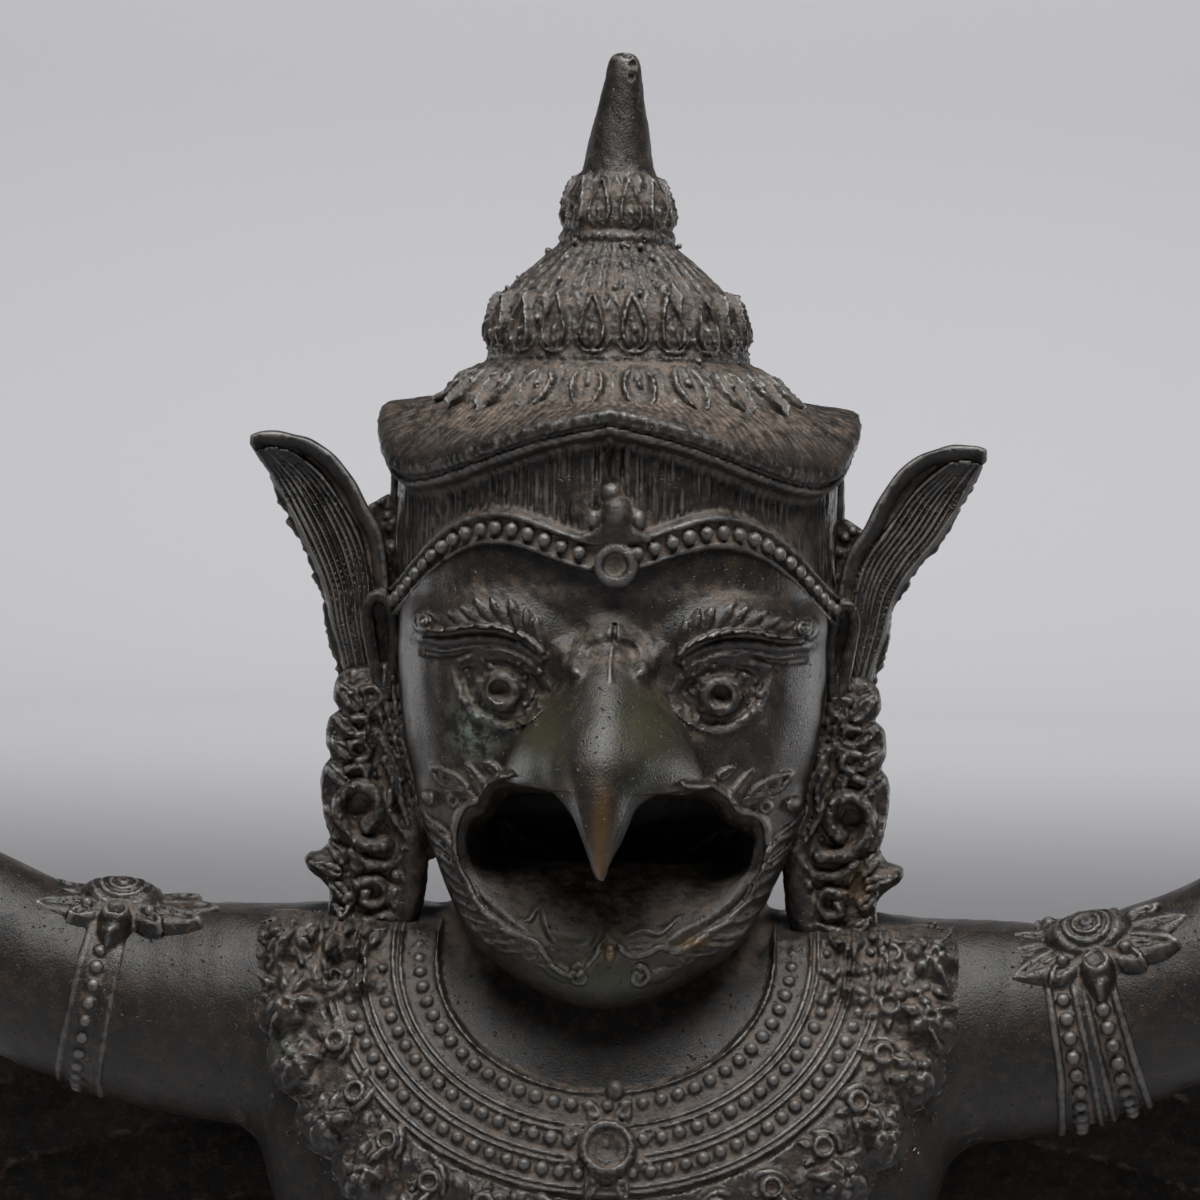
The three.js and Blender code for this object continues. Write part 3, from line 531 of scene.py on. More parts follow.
def make_piece(name, points, faces, rough=0.12, keep=None, tint=None, crust=0.0):
    """A piece of the casting from points in millimetres, with its wear, tints and painted shade stored on its
    points.
    """
    points = np.asarray(points, float)
    if keep is not None:
        wanted = keep(*points[faces].mean(1).T)
        faces = faces[wanted]
        used, faces = np.unique(faces, return_inverse=True)
        faces = faces.reshape(-1, 4)
        points = points[used]
    a, b, c, d = points[faces].transpose(1, 0, 2)
    normals = np.cross(c - a, d - b)
    if np.einsum("ij,ij->", (a + c) / 2 - points.mean(0), normals) < 0:
        faces = faces[:, ::-1]
        normals = -normals
    normal = np.zeros_like(points)
    for k in range(4):
        for axis in range(3):
            normal[:, axis] += np.bincount(faces[:, k], normals[:, axis], len(points))
    normal /= np.maximum(np.linalg.norm(normal, axis=1, keepdims=True), 1e-9)
    edges = np.unique(np.sort(np.concatenate([faces[:, [k, (k + 1) % 4]] for k in range(4)]), 1), axis=0)
    fine = even_out(points, edges, FINE_ROUNDS)
    broad = even_out(points, edges, BROAD_ROUNDS)
    side = np.linalg.norm(a - b, axis=1).mean()
    edge = np.einsum("ij,ij->i", points - fine, normal) * (0.5 / side) ** 1.5
    hollow = np.einsum("ij,ij->i", broad - points, normal)
    layers = {"edge": edge, "hollow": hollow}
    for key in ("brass", "olive", "green", "tan", "matt_and_shade"):
        layers[key] = np.zeros(len(points))
    for key, centre, radius in tint or ():
        near = np.exp(-((np.linalg.norm((points - centre) / radius, axis=1)) ** 2))
        layers[key] = np.maximum(layers[key], near)
    rises = rough * waves(points, *UNEVEN) + (crust + 0.1 * layers["tan"]) * waves(points, *CRUSTED)
    points = points + normal * rises[:, None]

    mesh = bpy.data.meshes.new(name)
    mesh.from_pydata((points * METRES).tolist(), [], faces.tolist())
    for key, values in layers.items():
        mesh.attributes.new(key, "FLOAT", "POINT").data.foreach_set("value", values.astype(np.float32))
    mesh.materials.append(bronze)
    piece = bpy.data.objects.new(name, mesh)
    bpy.context.scene.collection.objects.link(piece)
    most = next(KEPT[key] for key in KEPT if key in name)
    if 2 * len(faces) > most:
        thin_out(piece, most / (2 * len(faces)))
    piece.data.shade_smooth()
    piece.data.set_sharp_from_angle(angle=math.radians(SHARP_ANGLE))
    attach(piece, "root")
    return piece


def nodes_of(material):
    """The node tree of a new material, a maker of nodes in it, and its surface shader."""
    material.use_nodes = True
    tree = material.node_tree

    def node(kind, links=None, **settings):
        made = tree.nodes.new("ShaderNode" + kind)
        for key, value in settings.items():
            setattr(made, key, value)
        for key, value in (links or {}).items():
            socket = made.inputs[key]
            if isinstance(value, bpy.types.NodeSocket):
                tree.links.new(value, socket)
            else:
                socket.default_value = value
        return made

    return tree, node, tree.nodes["Principled BSDF"]


def bronze_material():
    """Dark patinated bronze: worn edges, dust in the hollows, spots of verdigris and bare brass, and painted
    shade: the deepest hollows lose their dust and go dark, and sheltered places reflect less.
    """
    material = bpy.data.materials.new("patinated_bronze")
    tree, node, shader = nodes_of(material)
    place = node("TexCoord").outputs["Object"]

    def noise(scale, detail=4.0, roughness=0.55, at=place):
        links = {"Vector": at, "Scale": scale, "Detail": detail, "Roughness": roughness}
        return node("TexNoise", links).outputs["Fac"]

    def ranged(value, low, high, to_low=0.0, to_high=1.0):
        links = {"Value": value, "From Min": low, "From Max": high, "To Min": to_low, "To Max": to_high}
        return node("MapRange", links).outputs["Result"]

    def maths(kind, a, b):
        return node("Math", {0: a, 1: b}, operation=kind).outputs[0]

    def blend(share, a, b):
        mix = node("Mix", {0: share}, data_type="RGBA")
        for socket, value in ((mix.inputs[6], a), (mix.inputs[7], b)):
            if isinstance(value, bpy.types.NodeSocket):
                tree.links.new(value, socket)
            else:
                socket.default_value = (*value, 1)
        return mix.outputs[2]

    def painted(name):
        return node("Attribute", attribute_name=name).outputs["Fac"]

    broad = noise(38, 3)
    middle = noise(260, 5, 0.6)
    fine = noise(1500, 4, 0.65)
    specks = noise(1300, 4, 0.7)
    upward = node("SeparateXYZ", {0: node("NewGeometry").outputs["Normal"]}).outputs["Z"]
    worn = ranged(maths("ADD", painted("edge"), ranged(middle, 0.3, 0.7, -0.03, 0.02)), 0.05, 0.16)
    depth = maths("ADD", painted("hollow"), ranged(middle, 0.3, 0.7, -0.2, 0.12))
    dusty = ranged(depth, 0.2, 0.85)
    laid = maths("MULTIPLY", ranged(upward, 0.3, 0.95), ranged(fine, 0.35, 0.6, 0.2, 0.7))
    grime = maths("MULTIPLY", painted("tan"), maths("ADD", laid, 0.45))
    dust_and_deep_shade = maths("MAXIMUM", dusty, maths("MULTIPLY", grime, ranged(middle, 0.32, 0.6)))
    dust_and_deep_shade = maths("MINIMUM", maths("MULTIPLY", dust_and_deep_shade, ranged(fine, 0.25, 0.5, 0.45, 1)), 0.9)
    dust_and_deep_shade = maths("MULTIPLY", dust_and_deep_shade, ranged(painted("edge"), 0.0, 0.07, 1, 0.15))
    # In the deepest hollows the dust is taken away so that they turn dark: painted shade.
    dust_and_deep_shade = maths("MULTIPLY", dust_and_deep_shade, ranged(painted("hollow"), 0.75, 1.3, 1, 0.2))
    sown = maths("MULTIPLY", ranged(specks, 0.54, 0.7), ranged(middle, 0.35, 0.6, 0.1, 0.7))

    colour = blend(ranged(broad, 0.35, 0.65), *PATINA)
    colour = blend(maths("MULTIPLY", ranged(middle, 0.48, 0.68), 0.7), colour, BROWN)
    colour = blend(painted("olive"), colour, OLIVE)
    colour = blend(sown, colour, SPECKS)
    colour = blend(maths("MULTIPLY", worn, BARE_SHARE), colour, BARE_METAL)
    colour = blend(maths("MULTIPLY", painted("brass"), 0.75), colour, BRASS)
    colour = blend(dust_and_deep_shade, colour, blend(middle, *DUST))
    green = maths("MULTIPLY", painted("green"), ranged(middle, 0.45, 0.62))
    colour = blend(green, colour, VERDIGRIS)
    tree.links.new(colour, shader.inputs["Base Color"])

    rough = ranged(fine, 0.3, 0.7, 0.26, 0.46)
    rough = maths("ADD", rough, maths("MULTIPLY", maths("MAXIMUM", dust_and_deep_shade, sown), 0.45))
    matt = maths("ADD", maths("MULTIPLY", green, 0.3), maths("MULTIPLY", painted("matt_and_shade"), 0.25))
    rough = maths("MINIMUM", maths("ADD", rough, matt), 0.95)
    # The layer that lowers the reflection and roughens the surface is painted shade in sheltered places, with
    # matt dirt.
    tree.links.new(ranged(painted("matt_and_shade"), 0, 1, 0.5, 0.1), shader.inputs["Specular IOR Level"])
    tree.links.new(rough, shader.inputs["Roughness"])
    bare = maths("MAXIMUM", maths("MULTIPLY", worn, BARE_SHARE), painted("brass"))
    metal = maths("MULTIPLY", bare, 0.8)
    tree.links.new(maths("MULTIPLY", metal, maths("SUBTRACT", 1.0, dust_and_deep_shade)), shader.inputs["Metallic"])
    shader.inputs["IOR"].default_value = 1.45

    height = maths("ADD", maths("MULTIPLY", fine, 0.7), maths("MULTIPLY", dust_and_deep_shade, noise(900, 5, 0.7)))
    height = maths("ADD", height, maths("MULTIPLY", noise(420, 3, 0.5), 0.28))
    pits = ranged(noise(620, 2, 0.5), 0.66, 0.8, 0, -1.6)
    bump = node("Bump", {"Height": maths("ADD", height, pits), "Strength": 0.6, "Distance": 0.0005})
    tree.links.new(bump.outputs["Normal"], shader.inputs["Normal"])
    return material


bronze = bronze_material()


# The skin: body, neck, arms and the back of the head, smooth under what lies on it.
def arm_line(side):
    end = ARM[-1][0]
    rise = [ARM_LIFT[side] * max(0, (x - ARM_LIFT_FROM) / (end - ARM_LIFT_FROM)) for x, *_ in ARM]
    points = spline([(side * x, y, z + lift) for (x, y, z, _), lift in zip(ARM, rise)], 26)
    radii = np.interp(np.abs(points[:, 0]), [row[0] for row in ARM], [row[3] for row in ARM])
    return points, radii


def torso(field):
    return meet(field.body(TORSO), field.grid()[2] - SHOULDER["top"], SHOULDER["soft"])


def skin():
    field = Field((-ARM_CUT - 3, -68, -3), (ARM_CUT + 3, 64, 224), STEP["skin"])
    x, y, z = field.grid()
    neck = meet(meet(field.body(NECK), z - NECK_ENDS[1]), NECK_ENDS[0] - z)
    field.d = join(torso(field), neck, NECK_SOFT)
    for side in (-1, 1):
        field.tube(*arm_line(side), ARM_SOFT)

    # The back of the head, set back where the diadem's band goes round it.
    under_band = 2.6 * np.clip((y - 4) / 15, 0, 1) * np.clip((z - 184) / 8, 0, 1)
    head = meet(meet(field.body(HEAD) + 0.3 + under_band, -y - 6), HEAD_FOOT - z)
    field.d = join(field.d, head, 2)
    field.d = meet(meet(field.d, -z), np.abs(x) - ARM_CUT)
    # Less reflection is painted under the head, low on the body and on the arms: painted shade, with matt
    # dirt.
    tint = [("matt_and_shade", (0, -40, 102), (44, 40, 20)), ("matt_and_shade", (0, -50, 20), (130, 70, 44))]
    tint += [("matt_and_shade", (side * 135, -72, 100), (75, 40, 60)) for side in (-1, 1)]
    return make_piece("skin", *field.mesh(), rough=0.1, tint=tint)


# The face, with the beak and the open mouth.
MOUTH_EDGE = [
    (0, 153), (-14.6, 153.4), (-22.2, 153.6), (-28.6, 153), (-31.6, 149.8), (-33.2, 146.4), (-36.6, 144),
    (-38.1, 140.8), (-38.4, 136.6), (-37.6, 132.4), (-35.6, 128), (-32, 123.8), (-28.5, 121), (-24.7, 118.6),
    (-20.6, 116), (-17, 113.8), (-12.7, 111.6), (-8.3, 109.8), (-3.4, 110.8), (-0.4, 113.2), (1.6, 114.6),
    (3.8, 113.4), (7.5, 112.2), (12.9, 112.6), (16.5, 113.2), (21.2, 116.2), (27, 118.8), (33, 122.3),
    (37.6, 127.2), (40.3, 131), (41.5, 135.5), (41.6, 140), (39.7, 143.8),
    (35.8, 145), (33.6, 146.6), (30.8, 150.6), (25.8, 152.8), (22, 152.8), (15.2, 152.6),
]
LIPS = [
    [
        (-24.6, 157.8), (-27.7, 156.4), (-30.4, 154.6), (-32.2, 151.7), (-33.3, 149.4), (-37.4, 147.4),
        (-39.3, 144.6), (-40.2, 140.8), (-40.1, 136.6), (-39.5, 133.1), (-38.3, 129.3), (-35.5, 123.6),
        (-32.3, 119.3), (-28.5, 116.3), (-23.4, 113.6), (-20, 112.5), (-16.5, 111), (-13.8, 106.9),
        (-9.9, 103.7), (-6, 103.6), (-2.3, 107.3), (0, 110.4),
    ],
    [
        (22, 156.6), (25.8, 155.4), (29.6, 154.7), (33.5, 151.3), (36.6, 147.6), (41.2, 146.1), (43.5, 143.1),
        (44, 137), (42.6, 131.3), (40.8, 125.6), (38, 121), (34.2, 118), (28.9, 114.8), (24.4, 112),
        (20.6, 110), (16, 111.2), (12.9, 109.6), (8.8, 108.8), (5.7, 110.6),
    ],
]
MOUTH_FLOOR = {"from": 111, "to": 131.5, "deep": 21, "far": 42}
FLOOR_FOLDS = [
    [(-30, 121.5), (-24, 118.6), (-20, 117.2), (-16.8, 121), (-15.2, 117), (-12.7, 112.6), (-8.3, 110.4)],
    [(6, 113.6), (11, 115.6), (16, 115), (21, 118.6), (28, 121), (34, 125.5)],
]
FLOOR_LOBE = [
    (-15.6, 119.4), (-12.5, 112.6), (-8, 110), (-3, 111.4), (0, 115), (1.5, 119), (-3, 122.5), (-10, 123.5),
]
THROAT = ((1.5, -26, 143.5), (36, 22, 13.5))
BEAK_EDGE = [
    (-27, 166), (-26.6, 158.6), (-21.1, 160.2), (-15.1, 159.9), (-11.3, 158), (-7.8, 155.4), (-5.9, 152.1),
    (-3.7, 145), (-2.2, 140.5), (-0.7, 134.8), (0.9, 132), (2, 132.4), (3, 136.5), (4.2, 142.2),
    (6.2, 147.5), (8.3, 152.8), (11.3, 156.2), (14.6, 158.6), (18.7, 159), (24.5, 157.4), (26, 166),
]
BEAK_UNDER = [
    (-27, 164), (-27, 156), (-21, 154.7), (-13.5, 154.2), (-9.6, 151.2), (-6.4, 147.2), (-4.5, 142.7),
    (-2.5, 137.1), (-0.9, 133.2), (1.2, 131.4), (2.9, 132.7), (4.1, 136.5), (5.6, 140.7), (7.4, 145.2),
    (9.3, 149.8), (12.5, 152.5), (15.8, 153.7), (24.5, 154), (26, 164),
]
BEAK_ENDS = (128, 199)
BROW_TOP = [
    (54, 198.5), (47.5, 199.5), (41.5, 202.5), (34.5, 204), (27, 203), (22, 200), (16.5, 196), (12, 190),
]
BROW_FOOT = [
    (53, 193.6), (46.5, 194.2), (39, 195.7), (32, 195.7), (26.4, 194.1), (21.9, 191.7), (17.6, 187.6),
]
BROW_UNDER = [(53, 191.4), (46.5, 191), (39, 192.4), (32, 192.4), (26, 190.9), (20, 187.5)]
EYE_EDGE = [
    (43.6, 185), (38.5, 187.6), (31, 188.4), (25, 186.4), (20.5, 183.4), (18, 178.8),
    (20.5, 174.4), (25.5, 170.6), (31, 169.6), (37.6, 172.6), (42, 178.5),
]
IRIS = (30.6, 178.6)
NOSE_FOLD = [(9.6, 186.2), (9.6, 190.4), (7, 194), (2.2, 195.6)]
FROWN = [(15.5, 193), (12, 186.5), (8.6, 182.8)]
CHEEK_OVAL = [(39.5, 152), (43, 151.6), (47.5, 153), (50, 156.6), (46.5, 156.4), (42.5, 154.8)]
CHEEK_LEAVES = [
    ((34, 149.8), (40.5, 159.6), 4.6),
    ((30.5, 156.6), (35.5, 159.8), 3),
    ((37, 150), (46, 150.6), 3),
]
JAW = [
    (53, 150), (50.2, 142.5), (47.2, 135), (44.4, 128), (40.5, 120.6), (35, 114.6), (28, 110.2),
    (20.5, 106.4),
]
EYE_GRAINS = 120
CUP_RADIUS = 5.6
LOCKS = 10


def face_relief(x, z):
    relief = Relief(x, z)
    rng = np.random.default_rng(21)
    for side in (-1, 1):

        def lie(points, side=side):
            return mirrored(points, side)

        def at(u, v, side=side):
            return mirrored([(u, v)], side)[0]

        # The sunken eye: an eyeball with a raised cup, and the lids round it.
        eye = spline(lie(EYE_EDGE), 60, True)
        relief.fill(eye, -2.0, 4.5)
        relief.dome(*at(*IRIS), 9.5, 2.6, on=True, soft=True)
        relief.ring(*at(*IRIS), 4.2, 1.6, 2.0, on=True)
        relief.dome(*at(IRIS[0] + 0.3, IRIS[1] + 0.4), 3.2, -3.0, soft=True)
        relief.dome(*at(IRIS[0] - side * 0.8, IRIS[1] - 2.2), 1.7, 1.0, on=True)
        relief.line(spline(lie(EYE_EDGE[:6]), 30), 1.7, 1.9, on=True, taper=True)
        relief.line(spline(lie(EYE_EDGE[5:] + EYE_EDGE[:1]), 30), 1.4, 1.6, on=True, taper=True)
        for u, v in zip(rng.uniform(20, 42, EYE_GRAINS), rng.uniform(171, 187.5, EYE_GRAINS)):
            if math.hypot(u - IRIS[0], v - IRIS[1]) > CUP_RADIUS:
                relief.dome(*at(u, v), rng.uniform(0.7, 1.6), rng.uniform(0.3, 0.9), on=True, soft=True)

        # The brow: a swelling with overlapping locks, and below it a strip between two fine lines.
        top, foot = spline(lie(BROW_TOP), 60), spline(lie(BROW_FOOT), 60)
        under = spline(lie(BROW_UNDER), 40)
        relief.line((top + foot) / 2, 8, 2.2, on=True, soft=True)
        for i in range(LOCKS):
            t = (i + 0.9) / (LOCKS + 0.5)
            low, high = foot[int(t * 59)], top[max(0, int((t - 0.2) * 59))]
            reach = rng.uniform(-0.08, 0.06)
            relief.leaf(low, high + (high - low) * reach, rng.uniform(4.8, 5.8), 4.0, "oval", hand=-side)
        relief.line(foot, 0.9, 1.5, on=True, taper=True)
        relief.line(under, 2.2, 1.4, on=True, soft=True)
        relief.line(under - (0, 2.2), 0.8, 1.2, on=True, taper=True)
        relief.curl(*at(53.2, 196.6), 2.9, 1.0, 1.3, start=-1.2, hand=side, on=True)
        relief.line(under - (0, 3.8), 1.4, -0.6, soft=True)

        # Folds at the nose root, then the leaves on the cheek and the strands along the jaw.
        relief.line(spline(lie(NOSE_FOLD), 20), 3.0, 1.2, on=True, soft=True)
        relief.dome(*at(5.2, 190), 4.0, -0.7, soft=True)
        relief.line(spline(lie(FROWN), 12), 3.4, 0.8, on=True, taper=True, soft=True)
        oval = spline(lie(CHEEK_OVAL), 30, True)
        relief.line(oval, 0.8, 1.1, closed=True)
        relief.line((oval - oval.mean(0)) * 0.45 + oval.mean(0), 0.7, 0.9, closed=True)
        for low, high, wide in CHEEK_LEAVES:
            relief.leaf(*lie([low, high]), wide, 1.3, "lock", hand=side)
            relief.line(lie([low, high]), 0.5, -0.6, taper=True)
        relief.ring(*at(43.4, 148.2), 1.3, 0.6, 0.9)
        relief.dome(*at(51, 148), 2.4, 1.4, on=True)
        jaw = spline(lie(JAW), 80)
        relief.line(jaw, 4.2, 0.7, soft=True, on=True)
        way = np.gradient(jaw, axis=0)
        out = np.stack([way[:, 1], -way[:, 0]], 1) / np.linalg.norm(way, axis=1)[:, None]
        out = out * (1 if out[0][0] * side > 0 else -1)
        for k in range(0, 64, 6):
            t = np.linspace(0, 1, 14)
            where = np.clip((k + rng.uniform(20, 27) * t).astype(int), 0, 79)
            bend = rng.uniform(2.2, 3.2) - 5.4 * t + 1.4 * np.sin(2 * np.pi * t)
            strand = jaw[where] + out[where] * bend[:, None]
            relief.line(strand, rng.uniform(0.7, 1.1), rng.uniform(0.55, 0.95), on=True, taper=True)

        # Curls on the chin beside its boss.
        relief.curl(2.6 + side * 8, 103, 3.0, 1.0, 1.2, turns=1.1, start=1.57, hand=-side)
        relief.leaf((2.6 + side * 10, 102), (2.6 + side * 20, 106), 4.6, 1.2, "lock", hand=side)
    for line in LIPS:
        relief.line(spline(line, 120), 1.0, 1.25, on=True)
    relief.curl(-19.4, 109.2, 2.6, 0.9, 1.1, start=0.6, hand=-1)
    relief.curl(23.6, 108.6, 2.4, 0.9, 1.1, start=2.6, hand=1)
    relief.line([(1.9, 192.4), (1.5, 188), (1.9, 182.5)], 0.8, 1.0, on=True, taper=True)
    relief.line([(2.2, 197.4), (2.3, 193.2)], 0.5, -1.6)
    relief.dome(2.6, 109.6, 1.7, 2.4, stretch=1.6, turn=1.57)
    relief.line(spline([(-0.6, 110), (0.2, 113.4), (2.6, 115), (5, 113.4), (5.8, 110.6)], 20), 1.0, 1.4)
    return relief


def face():
    field = Field((-63, -101, 90), (63, 0, 230), STEP["face"])
    x, y, z = field.grid()
    u, v = field.x[:, None], field.z[None, :]
    relief = face_relief(field.x, field.z)
    beak = join(field.body(BEAK, 25, True), field.body(FLANKS, 25, True), FLANK_SOFT) * 0.8
    beak = meet(meet(beak, BEAK_ENDS[0] - z, 2), z - BEAK_ENDS[1], 3)
    head = join(field.body(HEAD, 25), beak, BEAK_SOFT)
    head = meet(head, HEAD_FOOT - z, 3)

    # Relief stands on all of the face but the beak, which is smooth.
    sharp = flat_distance(u, v, spline(BEAK_EDGE, 160, True))
    ahead = np.clip(-y / 12, 0, 1)
    raised = relief.h * np.clip(sharp / 1.5 + 0.2, 0, 1)
    skin = head - raised[:, None, :] * ahead

    # The mouth: a roof and walls behind its edge, a floor that rises to the back, and a cavity.
    edge = spline(MOUTH_EDGE, 200, True)
    flat = flat_distance(u, v, edge) - 0.7 - 0.9 * np.clip((v - 122) / 8, 0, 1)
    gap = np.maximum(-flat, 0)
    start = surface(HEAD, u + 0 * v, np.clip(v + 0 * u, 100, 240))
    low = MOUTH_FLOOR["from"] + 0.0065 * (u - 2) ** 2
    rise = np.clip((v - low) / (MOUTH_FLOOR["to"] - low), 0, 1)
    folds = Relief(field.x, field.z)
    for line in FLOOR_FOLDS:
        folds.line(spline(line, 60), 1.5, 1.8, soft=True, taper=True)
    folds.fill(spline(FLOOR_LOBE, 40, True), 2.2, 3.0, on=True)
    floor = 1.3 + MOUTH_FLOOR["deep"] * rise**1.2 + 1.0 * np.cos(u * 0.2 - 0.4) * rise - folds.h
    deep = np.where(v < MOUTH_FLOOR["to"], floor, MOUTH_FLOOR["far"])
    steep = 3.5 * np.maximum(gap - 2.6, 0) * np.clip((v - 126) / 7, 0, 1)
    deep = np.minimum(deep, 0.4 + 1.6 * gap + steep)
    back = (start + deep).astype(np.float32)
    tilt = np.sqrt(1 + sum(g * g for g in np.gradient(back, field.step)))
    hole = np.maximum(flat[:, None, :], (y - back[:, None, :]) / tilt[:, None, :]).astype(np.float32)
    field.d = meet(skin, -hole, 1.0)
    field.ball(*THROAT, 1.0, carve=True)

    # The beak hangs before the mouth, with a stepped lip under its sharp edge.
    rear = np.interp(field.z, *np.array(BEAK_BACK).T)[None, None, :]
    under = flat_distance(u, v, spline(BEAK_UNDER, 160, True))
    lip = meet(meet(head + 1.5, under[:, None, :] + 0 * y, 0.8), y - rear - 2, 1)
    hook = meet(meet(head, sharp[:, None, :] + 0 * y, 0.6), y - rear, 1)
    field.d = join(join(field.d, lip.astype(np.float32), 0.5), hook.astype(np.float32), 0.3)

    def keep(px, py, pz):
        angle = np.degrees(np.arctan2(np.abs(px), -py))
        return (py < -1.2) & (pz < arch_height(angle) + 1.5)

    tint = [
        ("brass", (1, -98, 146), (2.2, 8, 9)),
        ("brass", (1, -96, 137), (2.2, 8, 6)),
        ("brass", (-8, -80, 156), (2.2, 12, 3)),
        ("brass", (2.6, -66, 109.6), (1.6, 6, 2.4)),
        ("brass", (26, -62, 112), (5, 8, 1.6)),
        ("olive", (12, -84, 172), (9, 20, 11)),
        ("olive", (-16, -76, 168), (9, 20, 9)),
        ("olive", (0, -60, 104), (20, 12, 8)),
        ("green", (-13, -66, 156), (4, 12, 2.5)),
        ("green", (-36, -56, 168), (6, 8, 8)),
        ("tan", (0, -62, 191), (13, 12, 8)),
        ("tan", (-30, -60, 181), (16, 12, 9)),
        ("tan", (32, -60, 181), (16, 12, 9)),
        ("tan", (-30, -60, 206), (26, 12, 3)),
        ("tan", (32, -60, 206), (26, 12, 3)),
        ("tan", (2, -48, 121), (36, 24, 11)),
        ("olive", (-4, -56, 114), (16, 12, 6)),
        ("tan", (-42, -56, 152), (12, 12, 9)),
        ("tan", (44, -56, 152), (12, 12, 9)),
    ]
    return make_piece("face", *field.mesh(), rough=0.1, keep=keep, tint=tint)


# The diadem: a grooved wall under a flaring brim, with a beaded band in two arches below.
DIADEM_WALL = 62
BAND_REACH = 63.4
ARCH = {"middle": 219, "top": 226, "side": 203, "top_angle": 28, "side_angle": 80}
RIM = {"middle": 253, "low": 238.6, "side": 254.5, "low_angle": 58, "side_angle": 100}
RIM_PROFILE = [
    (-3, 66.8), (0, 67.1), (0.8, 67.4), (3.0, 67.0), (3.6, 65.8), (4.1, 64.9), (4.8, 66.0), (5.9, 66.1),
    (6.8, 65.0), (7.6, 62.9), (9, 62), (60, 62),
]
WALL_GROOVES = 158
RIM_CUSP = 1.8
BRIM_LINES = 150
BAND_BEADS = {"from": 7, "to": 78, "pitch": 4.9, "radius": 1.9, "below": 3.6}
BAND_HIGH = 8.4
JEWEL = {"x": 2.2, "z": 213.4, "radius": 4.5, "wide": 1.55}
CROWN_SEAT = {"radius": 47, "high": 257.2, "hidden": 44.5}


def wave(angle, middle, turning, side, turning_angle, side_angle):
    """A height round the head by the angle from the front, through a turning point to the side."""

    def ease(t):
        return 0.5 - 0.5 * np.cos(np.pi * np.clip(t, 0, 1))

    first = middle + (turning - middle) * ease(angle / turning_angle)
    then = turning + (side - turning) * ease((angle - turning_angle) / (side_angle - turning_angle))
    return np.where(angle <= turning_angle, first, then)


def arch_height(angle):
    return wave(angle, *ARCH.values())


def rim_height(angle):
    return wave(angle, *RIM.values()) + RIM_CUSP * np.exp(-angle / 5.5)


